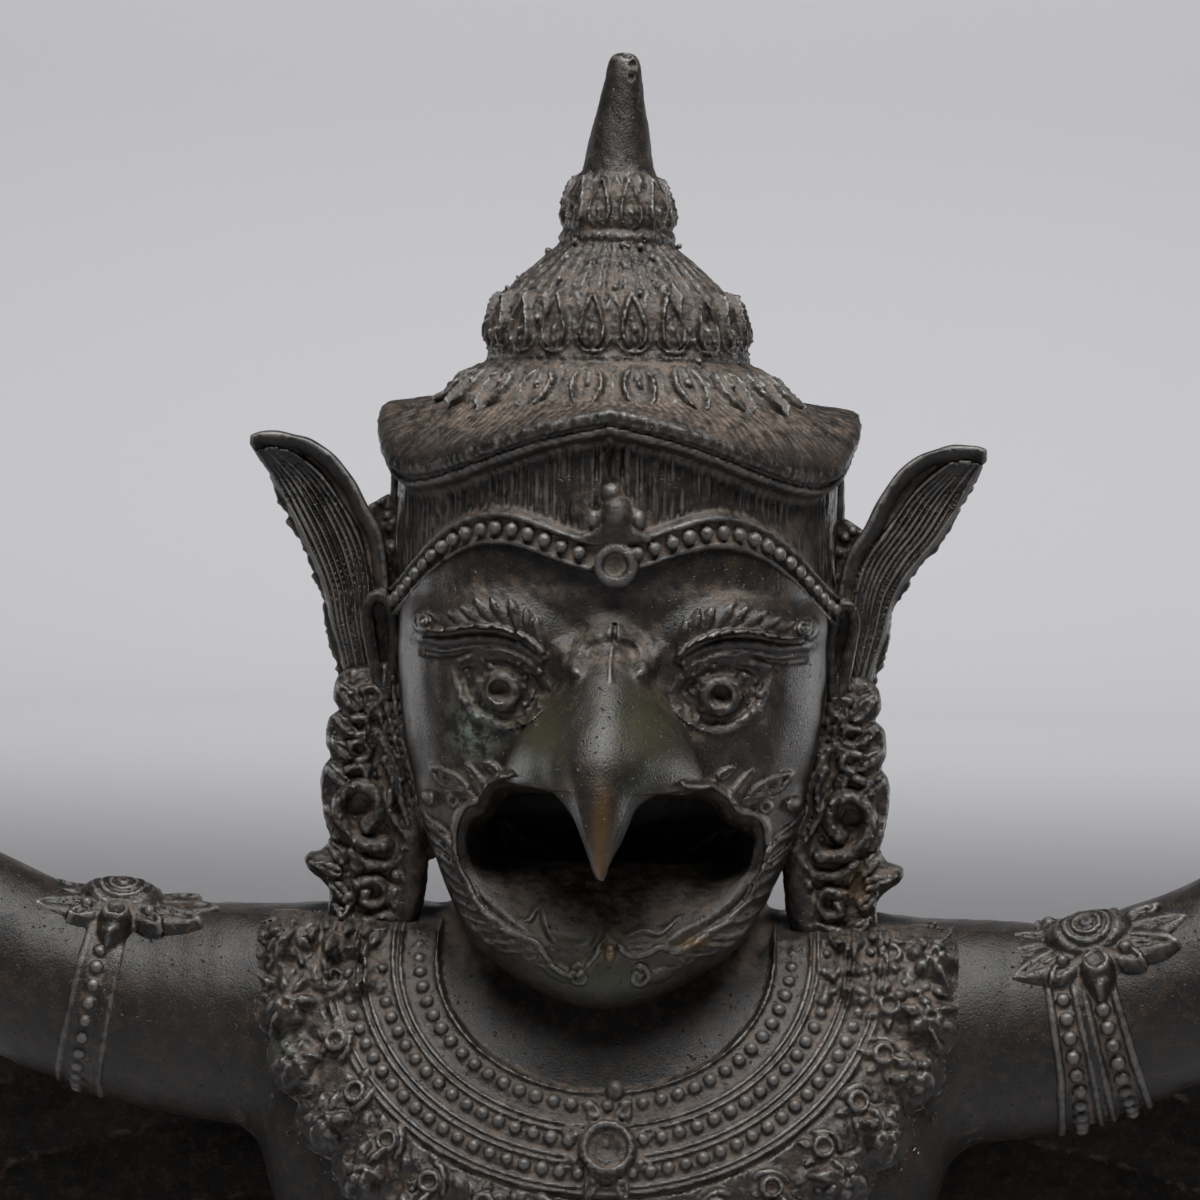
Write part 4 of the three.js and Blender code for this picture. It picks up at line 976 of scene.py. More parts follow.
def diadem():
    field = Field((-70, -70, 194), (70, 70, 260), STEP["diadem"])
    x, y = field.x[:, None], field.y[None, :]
    r = np.hypot(x, y)
    turn = np.degrees(np.arctan2(x, -y))
    sample = angle_index(x, y)
    rim = rim_height(np.abs(ANGLES))[:, None]
    arch = arch_height(np.abs(ANGLES))[:, None]
    z = field.z[None, :]
    reach = np.interp(rim - z, *np.array(RIM_PROFILE).T)

    # Grooves on the wall, each a little different, and broken in places.
    rng = np.random.default_rng(8)
    pitch = 360 / WALL_GROOVES
    index = np.floor(ANGLES / pitch).astype(int)
    off = (ANGLES / pitch - index - 0.5) * pitch * math.radians(1) * DIADEM_WALL
    deep = rng.uniform(0.6, 1.9, WALL_GROOVES + 2)[index % WALL_GROOVES]
    shift = rng.uniform(-0.45, 0.45, WALL_GROOVES + 2)[index % WALL_GROOVES]
    broken = np.clip(0.75 + 0.5 * np.sin(z * 0.42 + 17 * deep[:, None]), 0.1, 1)
    groove = deep[:, None] * np.exp(-(((off - shift)[:, None] / 0.5) ** 2)) * broken
    groove = np.maximum(groove, 1.7 * np.exp(-((ANGLES[:, None] / 0.5) ** 2)))
    on_wall = np.clip((rim - z - 7) / 2, 0, 1) * np.clip((z - arch - 1) / 1.5, 0, 1)
    reach = reach - groove * on_wall
    coarse = grain((len(ANGLES), len(field.z)), 6, 3)
    coarse = np.repeat(coarse[::3], 3, 0)[: len(ANGLES)]
    reach = reach + coarse * (0.04 + 0.13 * (rim - z < 4.6) * (rim - z > -1))

    # The band: an outer ridge, a trough for the beads and an inner ridge.
    band = np.exp(-(((z - arch) / 1.2) ** 2)) * 2.1 + np.exp(-(((z - arch + 7.2) / 1.0) ** 2)) * 1.5
    trough = np.clip(1 - np.abs(z - arch + 3.4) / 5, 0, 1) > 0
    reach = reach + band + np.where(trough, 0.5, 0)
    foot = arch - BAND_HIGH

    wall = r[:, :, None] - reach[sample]
    slope = (68 - np.clip(r, CROWN_SEAT["radius"], 68)) / (68 - CROWN_SEAT["radius"])
    top = rim_height(np.abs(turn)) * (1 - slope**0.85) + CROWN_SEAT["high"] * slope**0.85
    lines = 0.5 * np.clip(np.cos(turn * BRIM_LINES / 360 * 2 * np.pi + 2 * np.sin(r * 0.3)), 0, 1) ** 3
    top = top - lines * np.clip((r - 44) / 4, 0, 1) * np.clip((67 - r) / 3, 0, 1)
    over = (field.z[None, None, :] - top[:, :, None]) * 0.85
    under = foot[:, 0][sample][:, :, None] - field.z[None, None, :]
    field.d = meet(meet(wall * 0.9, over, 1.6), under, 1.5).astype(np.float32)

    # Beads on the band.
    for side in (-1, 1):
        angle = np.linspace(BAND_BEADS["from"], BAND_BEADS["to"], 90)
        turns = np.radians(angle) * side
        out = BAND_REACH + 0.2
        high = arch_height(angle) - BAND_BEADS["below"]
        line = np.stack([out * np.sin(turns), -out * np.cos(turns), high], 1)
        for bead in evenly(line, BAND_BEADS["pitch"]):
            field.ball(bead, BAND_BEADS["radius"], 0.3)

    # The ring jewel under the middle of the band, and the crest above it.
    ring = np.linspace(0, 2 * np.pi, 18, endpoint=False)
    jx, jz = JEWEL["x"], JEWEL["z"]
    across, up = JEWEL["radius"] * np.cos(ring), JEWEL["radius"] * np.sin(ring)
    field.ball((jx, -61, jz), (5.2, 3.4, 5.2), 0.6)
    field.tube(np.stack([jx + across, 0 * ring - 64.2, jz + up], 1), JEWEL["wide"], 0.5, closed=True)
    field.ball((jx, -65.5, jz), (2.3, 1.5, 2.3), 0.3, carve=True)
    field.ball((2.3, -63.5, 220.6), (6.5, 2.2, 1.6), 0.8)
    field.ball((2.1, -63.2, 226.4), (4.4, 4.6, 5.6), 0.8)
    field.ball((0.6, -63.6, 232.4), (2.4, 2.6, 2.8), 0.8)
    for side in (-1, 1):
        field.ball((2.1 + side * 5.8, -63, 225.4), (2.0, 2.2, 2.6), 0.6)
        field.tube([(2.1 + side * 3, -64, 222.5), (2.1 + side * 8.6, -63, 220.4)], (1.6, 1.0), 0.6)
    field.tube([(0, -68.6, 254), (0.4, -67.6, 249), (0, -66.5, 245)], 0.6, 0.2, carve=True)

    def keep(px, py, pz):
        return np.hypot(px, py) > CROWN_SEAT["hidden"]

    tint = [("tan", (side * 42, -50, 222), (40, 40, 6)) for side in (-1, 1)]
    tint += [("tan", (side * 34, -30, 252), (34, 40, 8)) for side in (-1, 1)]
    tint += [("tan", (0, -60, 228), (12, 12, 7)), ("tan", (0, -45, 256), (40, 24, 8))]
    return make_piece("diadem", *field.mesh(), rough=0.12, keep=keep, tint=tint, crust=0.03)


# The crown, by its outline: a height and a radius. Tiers of leaves, flutes and rolls are relief.
CROWN = [
    (250, 51), (255.5, 48.6), (258, 45.8), (262, 42), (266, 38.2), (267.3, 36.5), (268.5, 36.6),
    (269.8, 35.9), (271, 35.1), (274, 35), (278, 34.4), (282, 33.2), (286, 31.2), (289, 28.6),
    (292, 25.4), (295.5, 21.4), (298.5, 17.8), (300.3, 15.8), (301.4, 16.2), (302.6, 15.8),
    (303.8, 14.4), (308, 14.6), (312, 13.8), (316, 12), (320, 10), (323, 9.4), (328, 8.6), (336, 7.0),
    (343, 5.7), (349, 4.7), (352, 3.9), (354, 3.1),
]
CROWN_TIP = 353
CROWN_LEAN = -1.6
TIERS = [
    {"count": 20, "foot": 266.5, "tip": 251.5, "radius": 42, "wide": 0.8, "high": 3.4},
    {"count": 20, "foot": 270.5, "tip": 287.5, "radius": 34.5, "wide": 0.8, "high": 3.4},
    {"count": 11, "foot": 303.6, "tip": 319.5, "radius": 14, "wide": 0.92, "high": 2.4},
]
DOME_FLUTES = {"count": 38, "low": 284, "high": 300.5, "deep": 1.9}
CASTING_GRAINS = 44
TIP_PITS = [(0.4, -3, 352.5, 1.4), (2.0, -3.2, 349.5, 1.2), (1.4, -4.4, 346, 0.9), (-2.1, -2, 353, 1.3)]


def crown_relief(angles, heights):
    """Leaf tiers, flutes and casting grains, over the angle and the height."""
    total = np.zeros((len(angles), len(heights)))
    rng = np.random.default_rng(5)
    z = heights[None, :]
    for tier in TIERS:
        count, foot, tip = tier["count"], tier["foot"], tier["tip"]
        pitch = 360 / count
        length = tip - foot
        scale = math.radians(1) * tier["radius"]
        for layer, strength in ((0.5, 0.25), (0, 1)):
            index = np.floor(angles / pitch + layer).astype(int)
            off = ((angles / pitch + layer - index) - 0.5) * pitch * scale
            jitter = rng.uniform(-0.5, 0.5, (3, count + 1))[:, index % count]
            along = (z - foot - 0.9 * jitter[0][:, None] * np.sign(length)) / length
            across = (off - 0.5 * jitter[1])[:, None] + 0 * z
            lean = 0.9 * jitter[2][:, None] * along
            wide = tier["wide"] * pitch * scale
            height = leaf_height(along, across - lean, wide, "rim") * np.clip(0.25 + along / 0.22, 0.25, 1)
            dark = np.exp(-(((across - lean) / (0.16 * wide)) ** 2)) * np.exp(-(((along - 0.36) / 0.17) ** 2))
            seed = np.exp(-(((across - lean) / 0.9) ** 2)) * np.exp(-(((along - 0.33) * length / 1.0) ** 2))
            height = height - 0.25 * dark + 0.45 * seed
            total = np.maximum(total, tier["high"] * strength * height)
        # The scalloped foot: a curled loop under each leaf.
        index = np.floor(angles / pitch).astype(int)
        off = ((angles / pitch - index) - 0.5)[:, None] * pitch * scale
        if tip > foot:
            loop = np.abs(np.hypot(off, (z - foot - 3.2) * 1.2) - 0.4 * pitch * scale)
            scallop = np.exp(-((loop / 0.75) ** 2)) * (z < foot + 3.4) * (z > foot - 1)
            total = np.maximum(total, tier["high"] * 0.35 * scallop)
    count = DOME_FLUTES["count"]
    pitch = 360 / count
    off = (angles / pitch - np.floor(angles / pitch) - 0.5)[:, None]
    radius = np.interp(heights, *np.array(CROWN).T)[None, :]
    groove = np.exp(-((off * pitch * math.radians(1) * radius / 0.75) ** 2))
    share = np.clip((z - DOME_FLUTES["low"]) / 3, 0, 1) * np.clip((DOME_FLUTES["high"] - z) / 2, 0, 1)
    broken = np.clip(0.85 + 0.4 * np.sin(z * 1.1 + 7 * np.sin(3 * angles)[:, None]), 0, 1)
    total = total - DOME_FLUTES["deep"] * groove * share * broken * (total < 0.4)
    total = total + 0.35 * np.cos(off * 2 * np.pi) * share
    coarse = np.repeat(grain(total.shape, 11, 2)[::3], 3, 0)[: len(angles)]
    return total + 0.13 * coarse * np.clip((326 - z) / 6, 0.15, 1) * (1 - 0.75 * share)


def crown():
    field = Field((-52, -52, 249), (52, 52, 356), STEP["crown"])
    relief = crown_relief(ANGLES, field.z)
    radius = np.interp(field.z, *np.array(CROWN).T)
    radius = np.where(field.z < CROWN_TIP + 2, radius, 3)
    slope = 1 / np.sqrt(1 + np.gradient(radius, field.step) ** 2)
    lean = np.interp(field.z, (256, 290, 325, 345), (0, CROWN_LEAN, CROWN_LEAN, -0.6))
    x, y, z = field.grid()
    x = x - lean[None, None, :]
    r = np.hypot(x, y)
    height = relief[angle_index(x, y), np.arange(len(field.z))[None, None, :]]
    wall = (r - radius[None, None, :]) * slope[None, None, :] - height
    field.d = meet(meet(wall, z - CROWN_TIP, 3), 250 - z).astype(np.float32)
    rng = np.random.default_rng(12)
    for _ in range(CASTING_GRAINS):
        turn, up = rng.uniform(0, 2 * np.pi), rng.uniform(256, 302)
        out = np.interp(up, *np.array(CROWN).T) + rng.uniform(0.2, 1.2)
        aside = np.interp(up, (256, 290), (0, CROWN_LEAN))
        field.ball((out * math.sin(turn) + aside, -out * math.cos(turn), up), rng.uniform(0.6, 1.1), 0.3)
    for *place, size in TIP_PITS:
        field.ball(place, size, 0.2, carve=True)

    def keep(px, py, pz):
        return pz > 250.8

    tint = [
        ("tan", (0, -30, 260), (60, 50, 12)),
        ("tan", (0, -20, 282), (50, 40, 14)),
        ("tan", (0, -10, 310), (20, 20, 8)),
    ]
    return make_piece("crown", *field.mesh(), rough=0.12, keep=keep, tint=tint, crust=0.04)


# Ears as wings: a fluted leaf with a broad rolled rim, a loop at its root and a rough web behind it.
EAR_INNER = [
    (60, 170), (61.5, 182), (62, 195), (62.5, 206), (64.5, 218), (69, 226.5), (73, 233.5), (78.5, 240),
    (85, 244), (93, 246), (99, 246), (102, 245),
]
EAR_OUTER = [
    (102.4, 242.8), (99.5, 237), (96, 230), (92, 221.5), (87, 212.5), (84.5, 205), (81.5, 199.5), (80.8, 190),
    (78.7, 183), (76, 176), (74, 170),
]
EAR_RIM = 4.6
FLUTE_IN = [
    (64, 170), (66, 184), (67.5, 196), (68, 206), (70.5, 217), (76, 227), (83, 235.5), (92, 241.5),
    (100, 244),
]
FLUTE_OUT = [
    (73, 168), (75, 180), (78.5, 192), (81, 203), (86, 214), (91, 224), (95.5, 232), (99.5, 239), (102, 243),
]
FLUTES = 9
EAR_LOOP = [
    (66.5, 201), (62.5, 200), (60.5, 193), (60.8, 184), (63, 174), (65.2, 179), (67, 187), (68.6, 196),
]
WEB = [(46, 172), (46, 229), (56, 230), (64, 229), (69.5, 226), (66, 216), (64.5, 205), (63, 190), (61, 172)]
EAR_NARROW = {-1: 0, 1: 6.5}
EAR_DIP = {-1: 0, 1: 4.5}
WEB_BUMPS = 130


def ear(side):
    """Drawn for the left, narrowed and dipped for the right, whose edge lies lower and further in."""

    def fit(points):
        points = np.array(points, float)
        t = np.clip((points[:, 1] - 172) / 74, 0, 1)
        out = np.clip((points[:, 0] - 58) / 24, 0, 1)
        points[:, 0] -= EAR_NARROW[side] * (1 - t) * out
        points[:, 1] -= EAR_DIP[side] * np.sin(np.pi * np.clip((points[:, 1] - 206) / 40, 0, 1)) ** 2
        return points

    field = Field((-107, -27, 166), (-45, 6, 251), STEP["ear"])
    _, y, _ = field.grid()
    u, v = -field.x[:, None], field.z[None, :]
    inner, outer = spline(fit(EAR_INNER), 90), spline(fit(EAR_OUTER), 90)
    rng = np.random.default_rng(30 + side)
    outer[:, 0] += 0.35 * rng.normal(size=90)
    blade = flat_distance(u, v, np.concatenate([inner, outer]))
    relief = Relief(-field.x[::-1], field.z)
    a, b = spline(fit(FLUTE_IN), 50), spline(fit(FLUTE_OUT), 50)
    for k in range(FLUTES):
        share = (k + 0.6) / FLUTES
        line = a * (1 - share) + b * share
        relief.line(line, 1.5, rng.uniform(2.8, 3.5), soft=True)
    from_rim, _ = from_line(relief.u[:, None], relief.v[None, :], inner[22:])
    roll = 2.4 * np.sqrt(np.clip(1 - ((from_rim - EAR_RIM / 2) / (EAR_RIM / 2 + 0.4)) ** 2, 0, 1))
    relief.h = np.where(from_rim < EAR_RIM, np.maximum(roll, 0.3), relief.h)
    h = relief.h[::-1]
    hollow = np.clip(from_rim[::-1] / 13, 0, 1)
    middle = -13.5 + 7.5 * np.sin(np.pi / 2 * hollow) ** 1.2 + 2 * np.clip((v - 225) / 20, 0, 1)
    thick = 3.4 - 1.4 * np.clip((v - 190) / 60, 0, 1)
    shell = meet((middle - h)[:, None, :] - y, y - (middle + thick)[:, None, :], 0.4) * 0.8
    field.d = meet(shell, blade[:, None, :] + 0 * y, 1.2).astype(np.float32)
    loop = spline(fit(EAR_LOOP), 40, True)
    deep = np.full(len(loop), -14.4)
    field.tube(np.stack([-loop[:, 0], deep, loop[:, 1]], 1), 1.7, 0.8, closed=True)

    # The web is rough as it came out of the mould, with a spike of metal on it.
    web = flat_distance(u, v, fit(WEB))
    crust = Relief(-field.x[::-1], field.z)
    for pu, pv in zip(rng.uniform(46, 70, WEB_BUMPS), rng.uniform(172, 231, WEB_BUMPS)):
        crust.dome(pu, pv, rng.uniform(1, 2.6), rng.uniform(0.6, 1.8), soft=True)
    slab = meet((-8.5 - crust.h[::-1])[:, None, :] - y, y + 3, 0.5)
    field.put((slice(None),) * 3, meet(slab, web[:, None, :] + 0 * y, 1.5).astype(np.float32), 1.0)
    field.tube([(-61.5, -8, 226), (-61.8, -9, 232), (-62.6, -9, 237.5)], (1.6, 1.1, 0.4), 0.8)
    tint = [("tan", (side * 60, -10, 215), (9, 12, 18))]
    return make_piece(sided("ear", side), *field.mesh(side), rough=0.15, tint=tint)


# The ornament beside each ear: a plate with pointed lobes, scrolls, and strands from the ear's root.
ORNAMENT = [
    (46, 180), (70, 181), (76, 178.5), (77.5, 173), (75.8, 169), (78.6, 166), (79.4, 160), (78, 156),
    (80.3, 152), (80.4, 145), (79.2, 138), (78, 133.5), (80.5, 129.4), (84.6, 128), (84.2, 125),
    (80, 121.5), (77.5, 118), (78, 110), (74, 104), (58, 104), (54.5, 112), (54, 126), (46, 134),
]
ORNAMENT_IN = {-1: 0, 1: -3.5}
ORNAMENT_GRAINS = 70
FLAMES = [
    ((69.4, 169.4), (76.7, 177.3), 5.4), ((70.9, 162.9), (77.8, 169), 5), ((70.9, 156.4), (79, 161.7), 5.4),
    ((73.2, 148.5), (80.3, 155.7), 5.2), ((66, 167.2), (68.6, 176.2), 4.8), ((66, 158.6), (69.1, 165.5), 4.6),
    ((66, 149.9), (69.7, 156.8), 4.6), ((74.9, 133.2), (79.8, 143), 5.4), ((72.8, 127.1), (79, 133.7), 5),
    ((74.2, 123.9), (83.6, 127.1), 5.4), ((72.8, 117.4), (78.6, 122.6), 5), ((69.9, 108.9), (76.5, 115.4), 5),
    ((69.1, 123.9), (71.3, 132.6), 4.6),
]
BIG_SCROLL = [
    (67, 137.5), (64.2, 141), (65.1, 146.7), (70.3, 148.4), (75, 144.6), (74.4, 137.6), (69.4, 132.7),
    (62.5, 132),
]
SCROLLS = [
    (BIG_SCROLL, 2.3, 4.8),
    ([(62.5, 155.7), (60.5, 149.9), (61.1, 142.7), (57.9, 136.9), (55, 133.7)], 1.5, 3.6),
    ([(65.1, 162.9), (61.9, 158.6), (58.7, 151.6), (57.9, 144.7), (55.7, 138.4)], 1.4, 3.6),
    ([(71.7, 130), (66, 126.5), (59.6, 127.1), (56.6, 130.8)], 1.7, 3.8),
    ([(69.4, 121), (63.9, 122.2), (61.6, 118.7), (63.9, 115.3), (67.7, 116.1), (67.3, 118.7)], 1.7, 4.0),
    ([(59, 123.9), (56, 122.2), (55.6, 117.3), (57.3, 114.4), (60.2, 116.7), (59.2, 119.6)], 1.6, 3.8),
    ([(67, 110.9), (61.5, 112.4), (57.9, 109.8), (60.5, 106.9), (63.9, 107.7), (63, 109.6)], 1.7, 3.8),
    ([(66.8, 170.1), (63.9, 173), (66, 175.9), (69.1, 175)], 1.3, 3.2),
    ([(71.7, 167.2), (68.3, 167.2), (67.4, 163.8), (70.3, 162.6)], 1.2, 3.2),
    ([(72.3, 160), (68.6, 160.6), (67.4, 157.1), (70, 155.4)], 1.3, 3.4),
    ([(73.2, 152.8), (69.4, 154), (67.7, 151.1), (69.7, 148.8)], 1.2, 3.2),
]
STRANDS = [
    [(66, 183), (65, 172), (62, 160), (58.5, 148), (55.5, 138)],
    [(63.6, 183), (62.6, 172), (59.6, 160), (56.4, 148), (53.6, 138)],
    [(61.2, 183), (60.2, 172), (57.2, 160), (54.2, 148), (51.6, 138)],
    [(58.8, 183), (57.8, 172), (55, 160), (52, 148), (49.6, 138)],
]
LOBE = [(55, 138, 3.2), (54.4, 130, 4.0), (55.2, 121, 4.6), (57, 113, 4.6), (60, 107.5, 3.8)]


def ornament(side):
    field = Field((-90, -24, 102), (-42, 6, 188), STEP["ornament"])
    _, y, _ = field.grid()
    shift = ORNAMENT_IN[side]
    relief = Relief(-field.x[::-1], field.z)
    rng = np.random.default_rng(40 + side)
    inward = np.array((shift, 0))
    for foot, tip, wide in FLAMES:
        relief.leaf(inward + foot, inward + tip, wide, 3.4, "lock", hand=-1)
        relief.line([inward + foot, inward + tip], 0.5, -0.9)
    for points, wide, high in SCROLLS:
        line = spline(points, 40) + inward
        relief.line(line, wide, high * rng.uniform(0.9, 1.05))
        relief.dome(*line[0], wide * 1.15, high)
        relief.dome(*line[-1], wide * 1.15, high)
    relief.dome(70 + shift, 142.3, 2.6, -2.2)
    for points in STRANDS:
        relief.line(spline(points, 40) + inward * 0.6, 1.15, 2.4)
    for _ in range(ORNAMENT_GRAINS):
        pu, pv = rng.uniform(56, 78) + shift, rng.uniform(106, 180)
        relief.dome(pu, pv, rng.uniform(0.5, 1.1), 1.0, on=True, soft=True)
    u, v = -field.x[:, None], field.z[None, :]
    flat = flat_distance(u, v, spline(ORNAMENT, 140, True) + inward) - 0.3
    h = relief.h[::-1] + 0.2 * grain(relief.h.shape, 4)
    mound = -12.0 - 1.2 * np.clip(-flat / 4, 0, 1) - h
    plate = meet(mound[:, None, :] - y, y + 2) * 0.8
    field.d = meet(plate, flat[:, None, :] + 0 * y, 2.0).astype(np.float32)
    lobe = spline(LOBE, 30)
    rounded = np.stack([-(lobe[:, 0] + shift * 0.6), -12.4 + 0 * lobe[:, 0], lobe[:, 1]], 1)
    field.tube(rounded, lobe[:, 2], 1.2)
    slot = spline([(55, -17.6, 134), (55.6, -18, 124), (57.8, -17.6, 114)], 14)
    field.tube(slot * (-1, 1, 1) - (shift * 0.6, 0, 0), 0.9, 0.5, carve=True)

    def keep(px, py, pz):
        return py < 3

    tint = [("tan", (side * 64, -14, 128), (16, 12, 26)), ("tan", (side * 60, -14, 165), (8, 12, 20))]
    if side > 0:
        tint += [("brass", (69, -16, 124), (3, 8, 5))]
    name = sided("ear_ornament", side)
    return make_piece(name, *field.mesh(side), rough=0.1, keep=keep, tint=tint, crust=0.06)


# The collar: bead rows between double ridges round the neck, with a flower and florets below.
COLLAR_TOP = 104.5
COLLAR_ROWS = {"ridges": (46.3, 56.4, 58.4, 66, 68, 75.4, 77.2), "beads": (51.2, 62, 71.6)}
COLLAR_SHAPE = {"inner": (46, 33.5), "outer": (79, 61)}
COLLAR_HIGH = 1.3
COLLAR_BEAD = {"radius": 1.75, "pitch": 4.9}
ROSETTES = [
    (-74, 95), (-71.5, 79.5), (-65.2, 67), (-55.8, 55.6), (-44, 46), (-29.5, 41.2), (-14, 38.5), (78, 104),
    (77.4, 92), (75.6, 79.5), (68.8, 67.5), (59.6, 56.6), (46.4, 46.8), (32, 41.4), (16, 38.5),
]
LOBES = [
    (-87, 104), (-86, 89), (-82, 74.5), (-72.4, 60), (-61.5, 48), (-48, 38), (89, 103), (87.8, 89),
    (83.4, 75), (75, 60.5), (64.3, 49), (50, 38.5),
]
CENTRE_FLOWER = (3, 56)
BUD = (4.2, 70.5)
GROUND_BUMPS = 240
SHOULDER_BUMPS = 150


def collar_curve(half):
    """A row's fall below its highest place, by its half width."""
    inner, outer = COLLAR_SHAPE["inner"], COLLAR_SHAPE["outer"]
    t = (half - inner[0]) / (outer[0] - inner[0])
    return inner[1] + t * (outer[1] - inner[1])


def row_of(x, z):
    """The half width of the collar row that passes through a place."""
    fall = np.maximum(0, COLLAR_TOP - z)
    half = np.abs(x) + 0 * z + 20
    for _ in range(8):
        half = np.sqrt(x * x + (fall * half / collar_curve(np.maximum(half, 30))) ** 2 + 1e-3)
        half = np.clip(half, 20, 140)
    return half


def collar_height(half):
    """The collar's height over the skin, by the row."""
    band = np.clip((half - 45.4) / 0.8, 0, 1) * np.clip((79.5 - half) / 1.2, 0, 1) * COLLAR_HIGH
    ridges = sum(np.exp(-(((half - at) / 0.62) ** 2)) for at in COLLAR_ROWS["ridges"])
    return band + 1.15 * ridges


def row_line(half):
    """Places along one row of the collar, on the skin."""
    turns = np.radians(np.linspace(-89, 89, 160))
    x = half * np.sin(turns)
    z = COLLAR_TOP - collar_curve(half) * np.cos(turns)
    return np.stack([x, surface(TORSO, x, z), z], 1)


def rosette(k):
    """A small ring with an eye in it, half wrapped by a curl, on a crumpled ground."""
    relief = Relief.plaque(9, 9)
    rng = np.random.default_rng(60 + k)
    relief.dome(0, 0, 5.6, 2.6, soft=True)
    relief.ring(0, 0, 2.45, 1.25, 4.2)
    relief.dome(0, 0, 0.9, 2.8)
    start = rng.uniform(0, 1.4)
    turns = np.linspace(start, start + 2.7, 18)
    far = 4.5 + 0.5 * np.sin(2 * turns)
    relief.line(np.stack([far * np.cos(turns), far * np.sin(turns)], 1), 1.3, 3.8, taper=True)
    for turn in start + np.array((3.3, 4.3, 5.2)):
        way = np.array((math.cos(turn), math.sin(turn)))
        relief.leaf(way * 3, way * rng.uniform(6, 8), 3.8, rng.uniform(2.6, 3.6), "lock")
    relief.h += 0.1 * grain(relief.h.shape, k, 5)
    return relief


def lobed(k):
    """A crumpled leaf with pointed corners and sharp folds, and a dimpled eye on it."""
    relief = Relief.plaque(13, 12)
    rng = np.random.default_rng(80 + k)
    turns = np.sort(rng.uniform(-0.3, 0.3, 12) + np.arange(12) * np.pi / 6)
    far = np.where(np.arange(12) % 2, rng.uniform(4.6, 5.4, 12), rng.uniform(5.8, 7.4, 12))
    corners = np.stack([1.25 * far * np.cos(turns), far * np.sin(turns)], 1)
    relief.fill(spline(corners, 48, True), 4.6, 3.2)
    for corner in corners[::2]:
        relief.line([corner * 0.2, corner * 0.95], 1.7, 1.2, on=True, taper=True)
    for corner in corners[1::2]:
        relief.line([corner * 0.3, corner], 1.0, -0.9, taper=True)
    relief.dome(0.8, 0.6, 3.0, 1.4, on=True)
    relief.dome(0.8, 0.6, 1.3, -1.8, soft=True)
    relief.h += 0.1 * grain(relief.h.shape, 20 + k, 5)
    return relief


def centre_flower():
    relief = Relief.plaque(16, 16)
    for k in range(8):
        turn = (k + 0.5) * np.pi / 4
        way = np.array([math.cos(turn), math.sin(turn)])
        relief.leaf(way * 6.5, way * 15, 6.5, 2.6)
        relief.dome(*(way * 9.4), 1.6, 3.0)
    relief.dome(0, 0, 8.6, 4.4)
    relief.ring(0, 0, 6.4, 1.9, 5.6)
    relief.dome(0, 0, 4.0, -3.2, soft=True)
    relief.dome(0, 0, 2.4, 0.9, on=True)
    for k in range(14):
        turn = k * np.pi / 7
        ends = [(far * math.cos(turn), far * math.sin(turn)) for far in (7.2, 8.6)]
        relief.line(ends, 0.5, -0.8)
    return relief


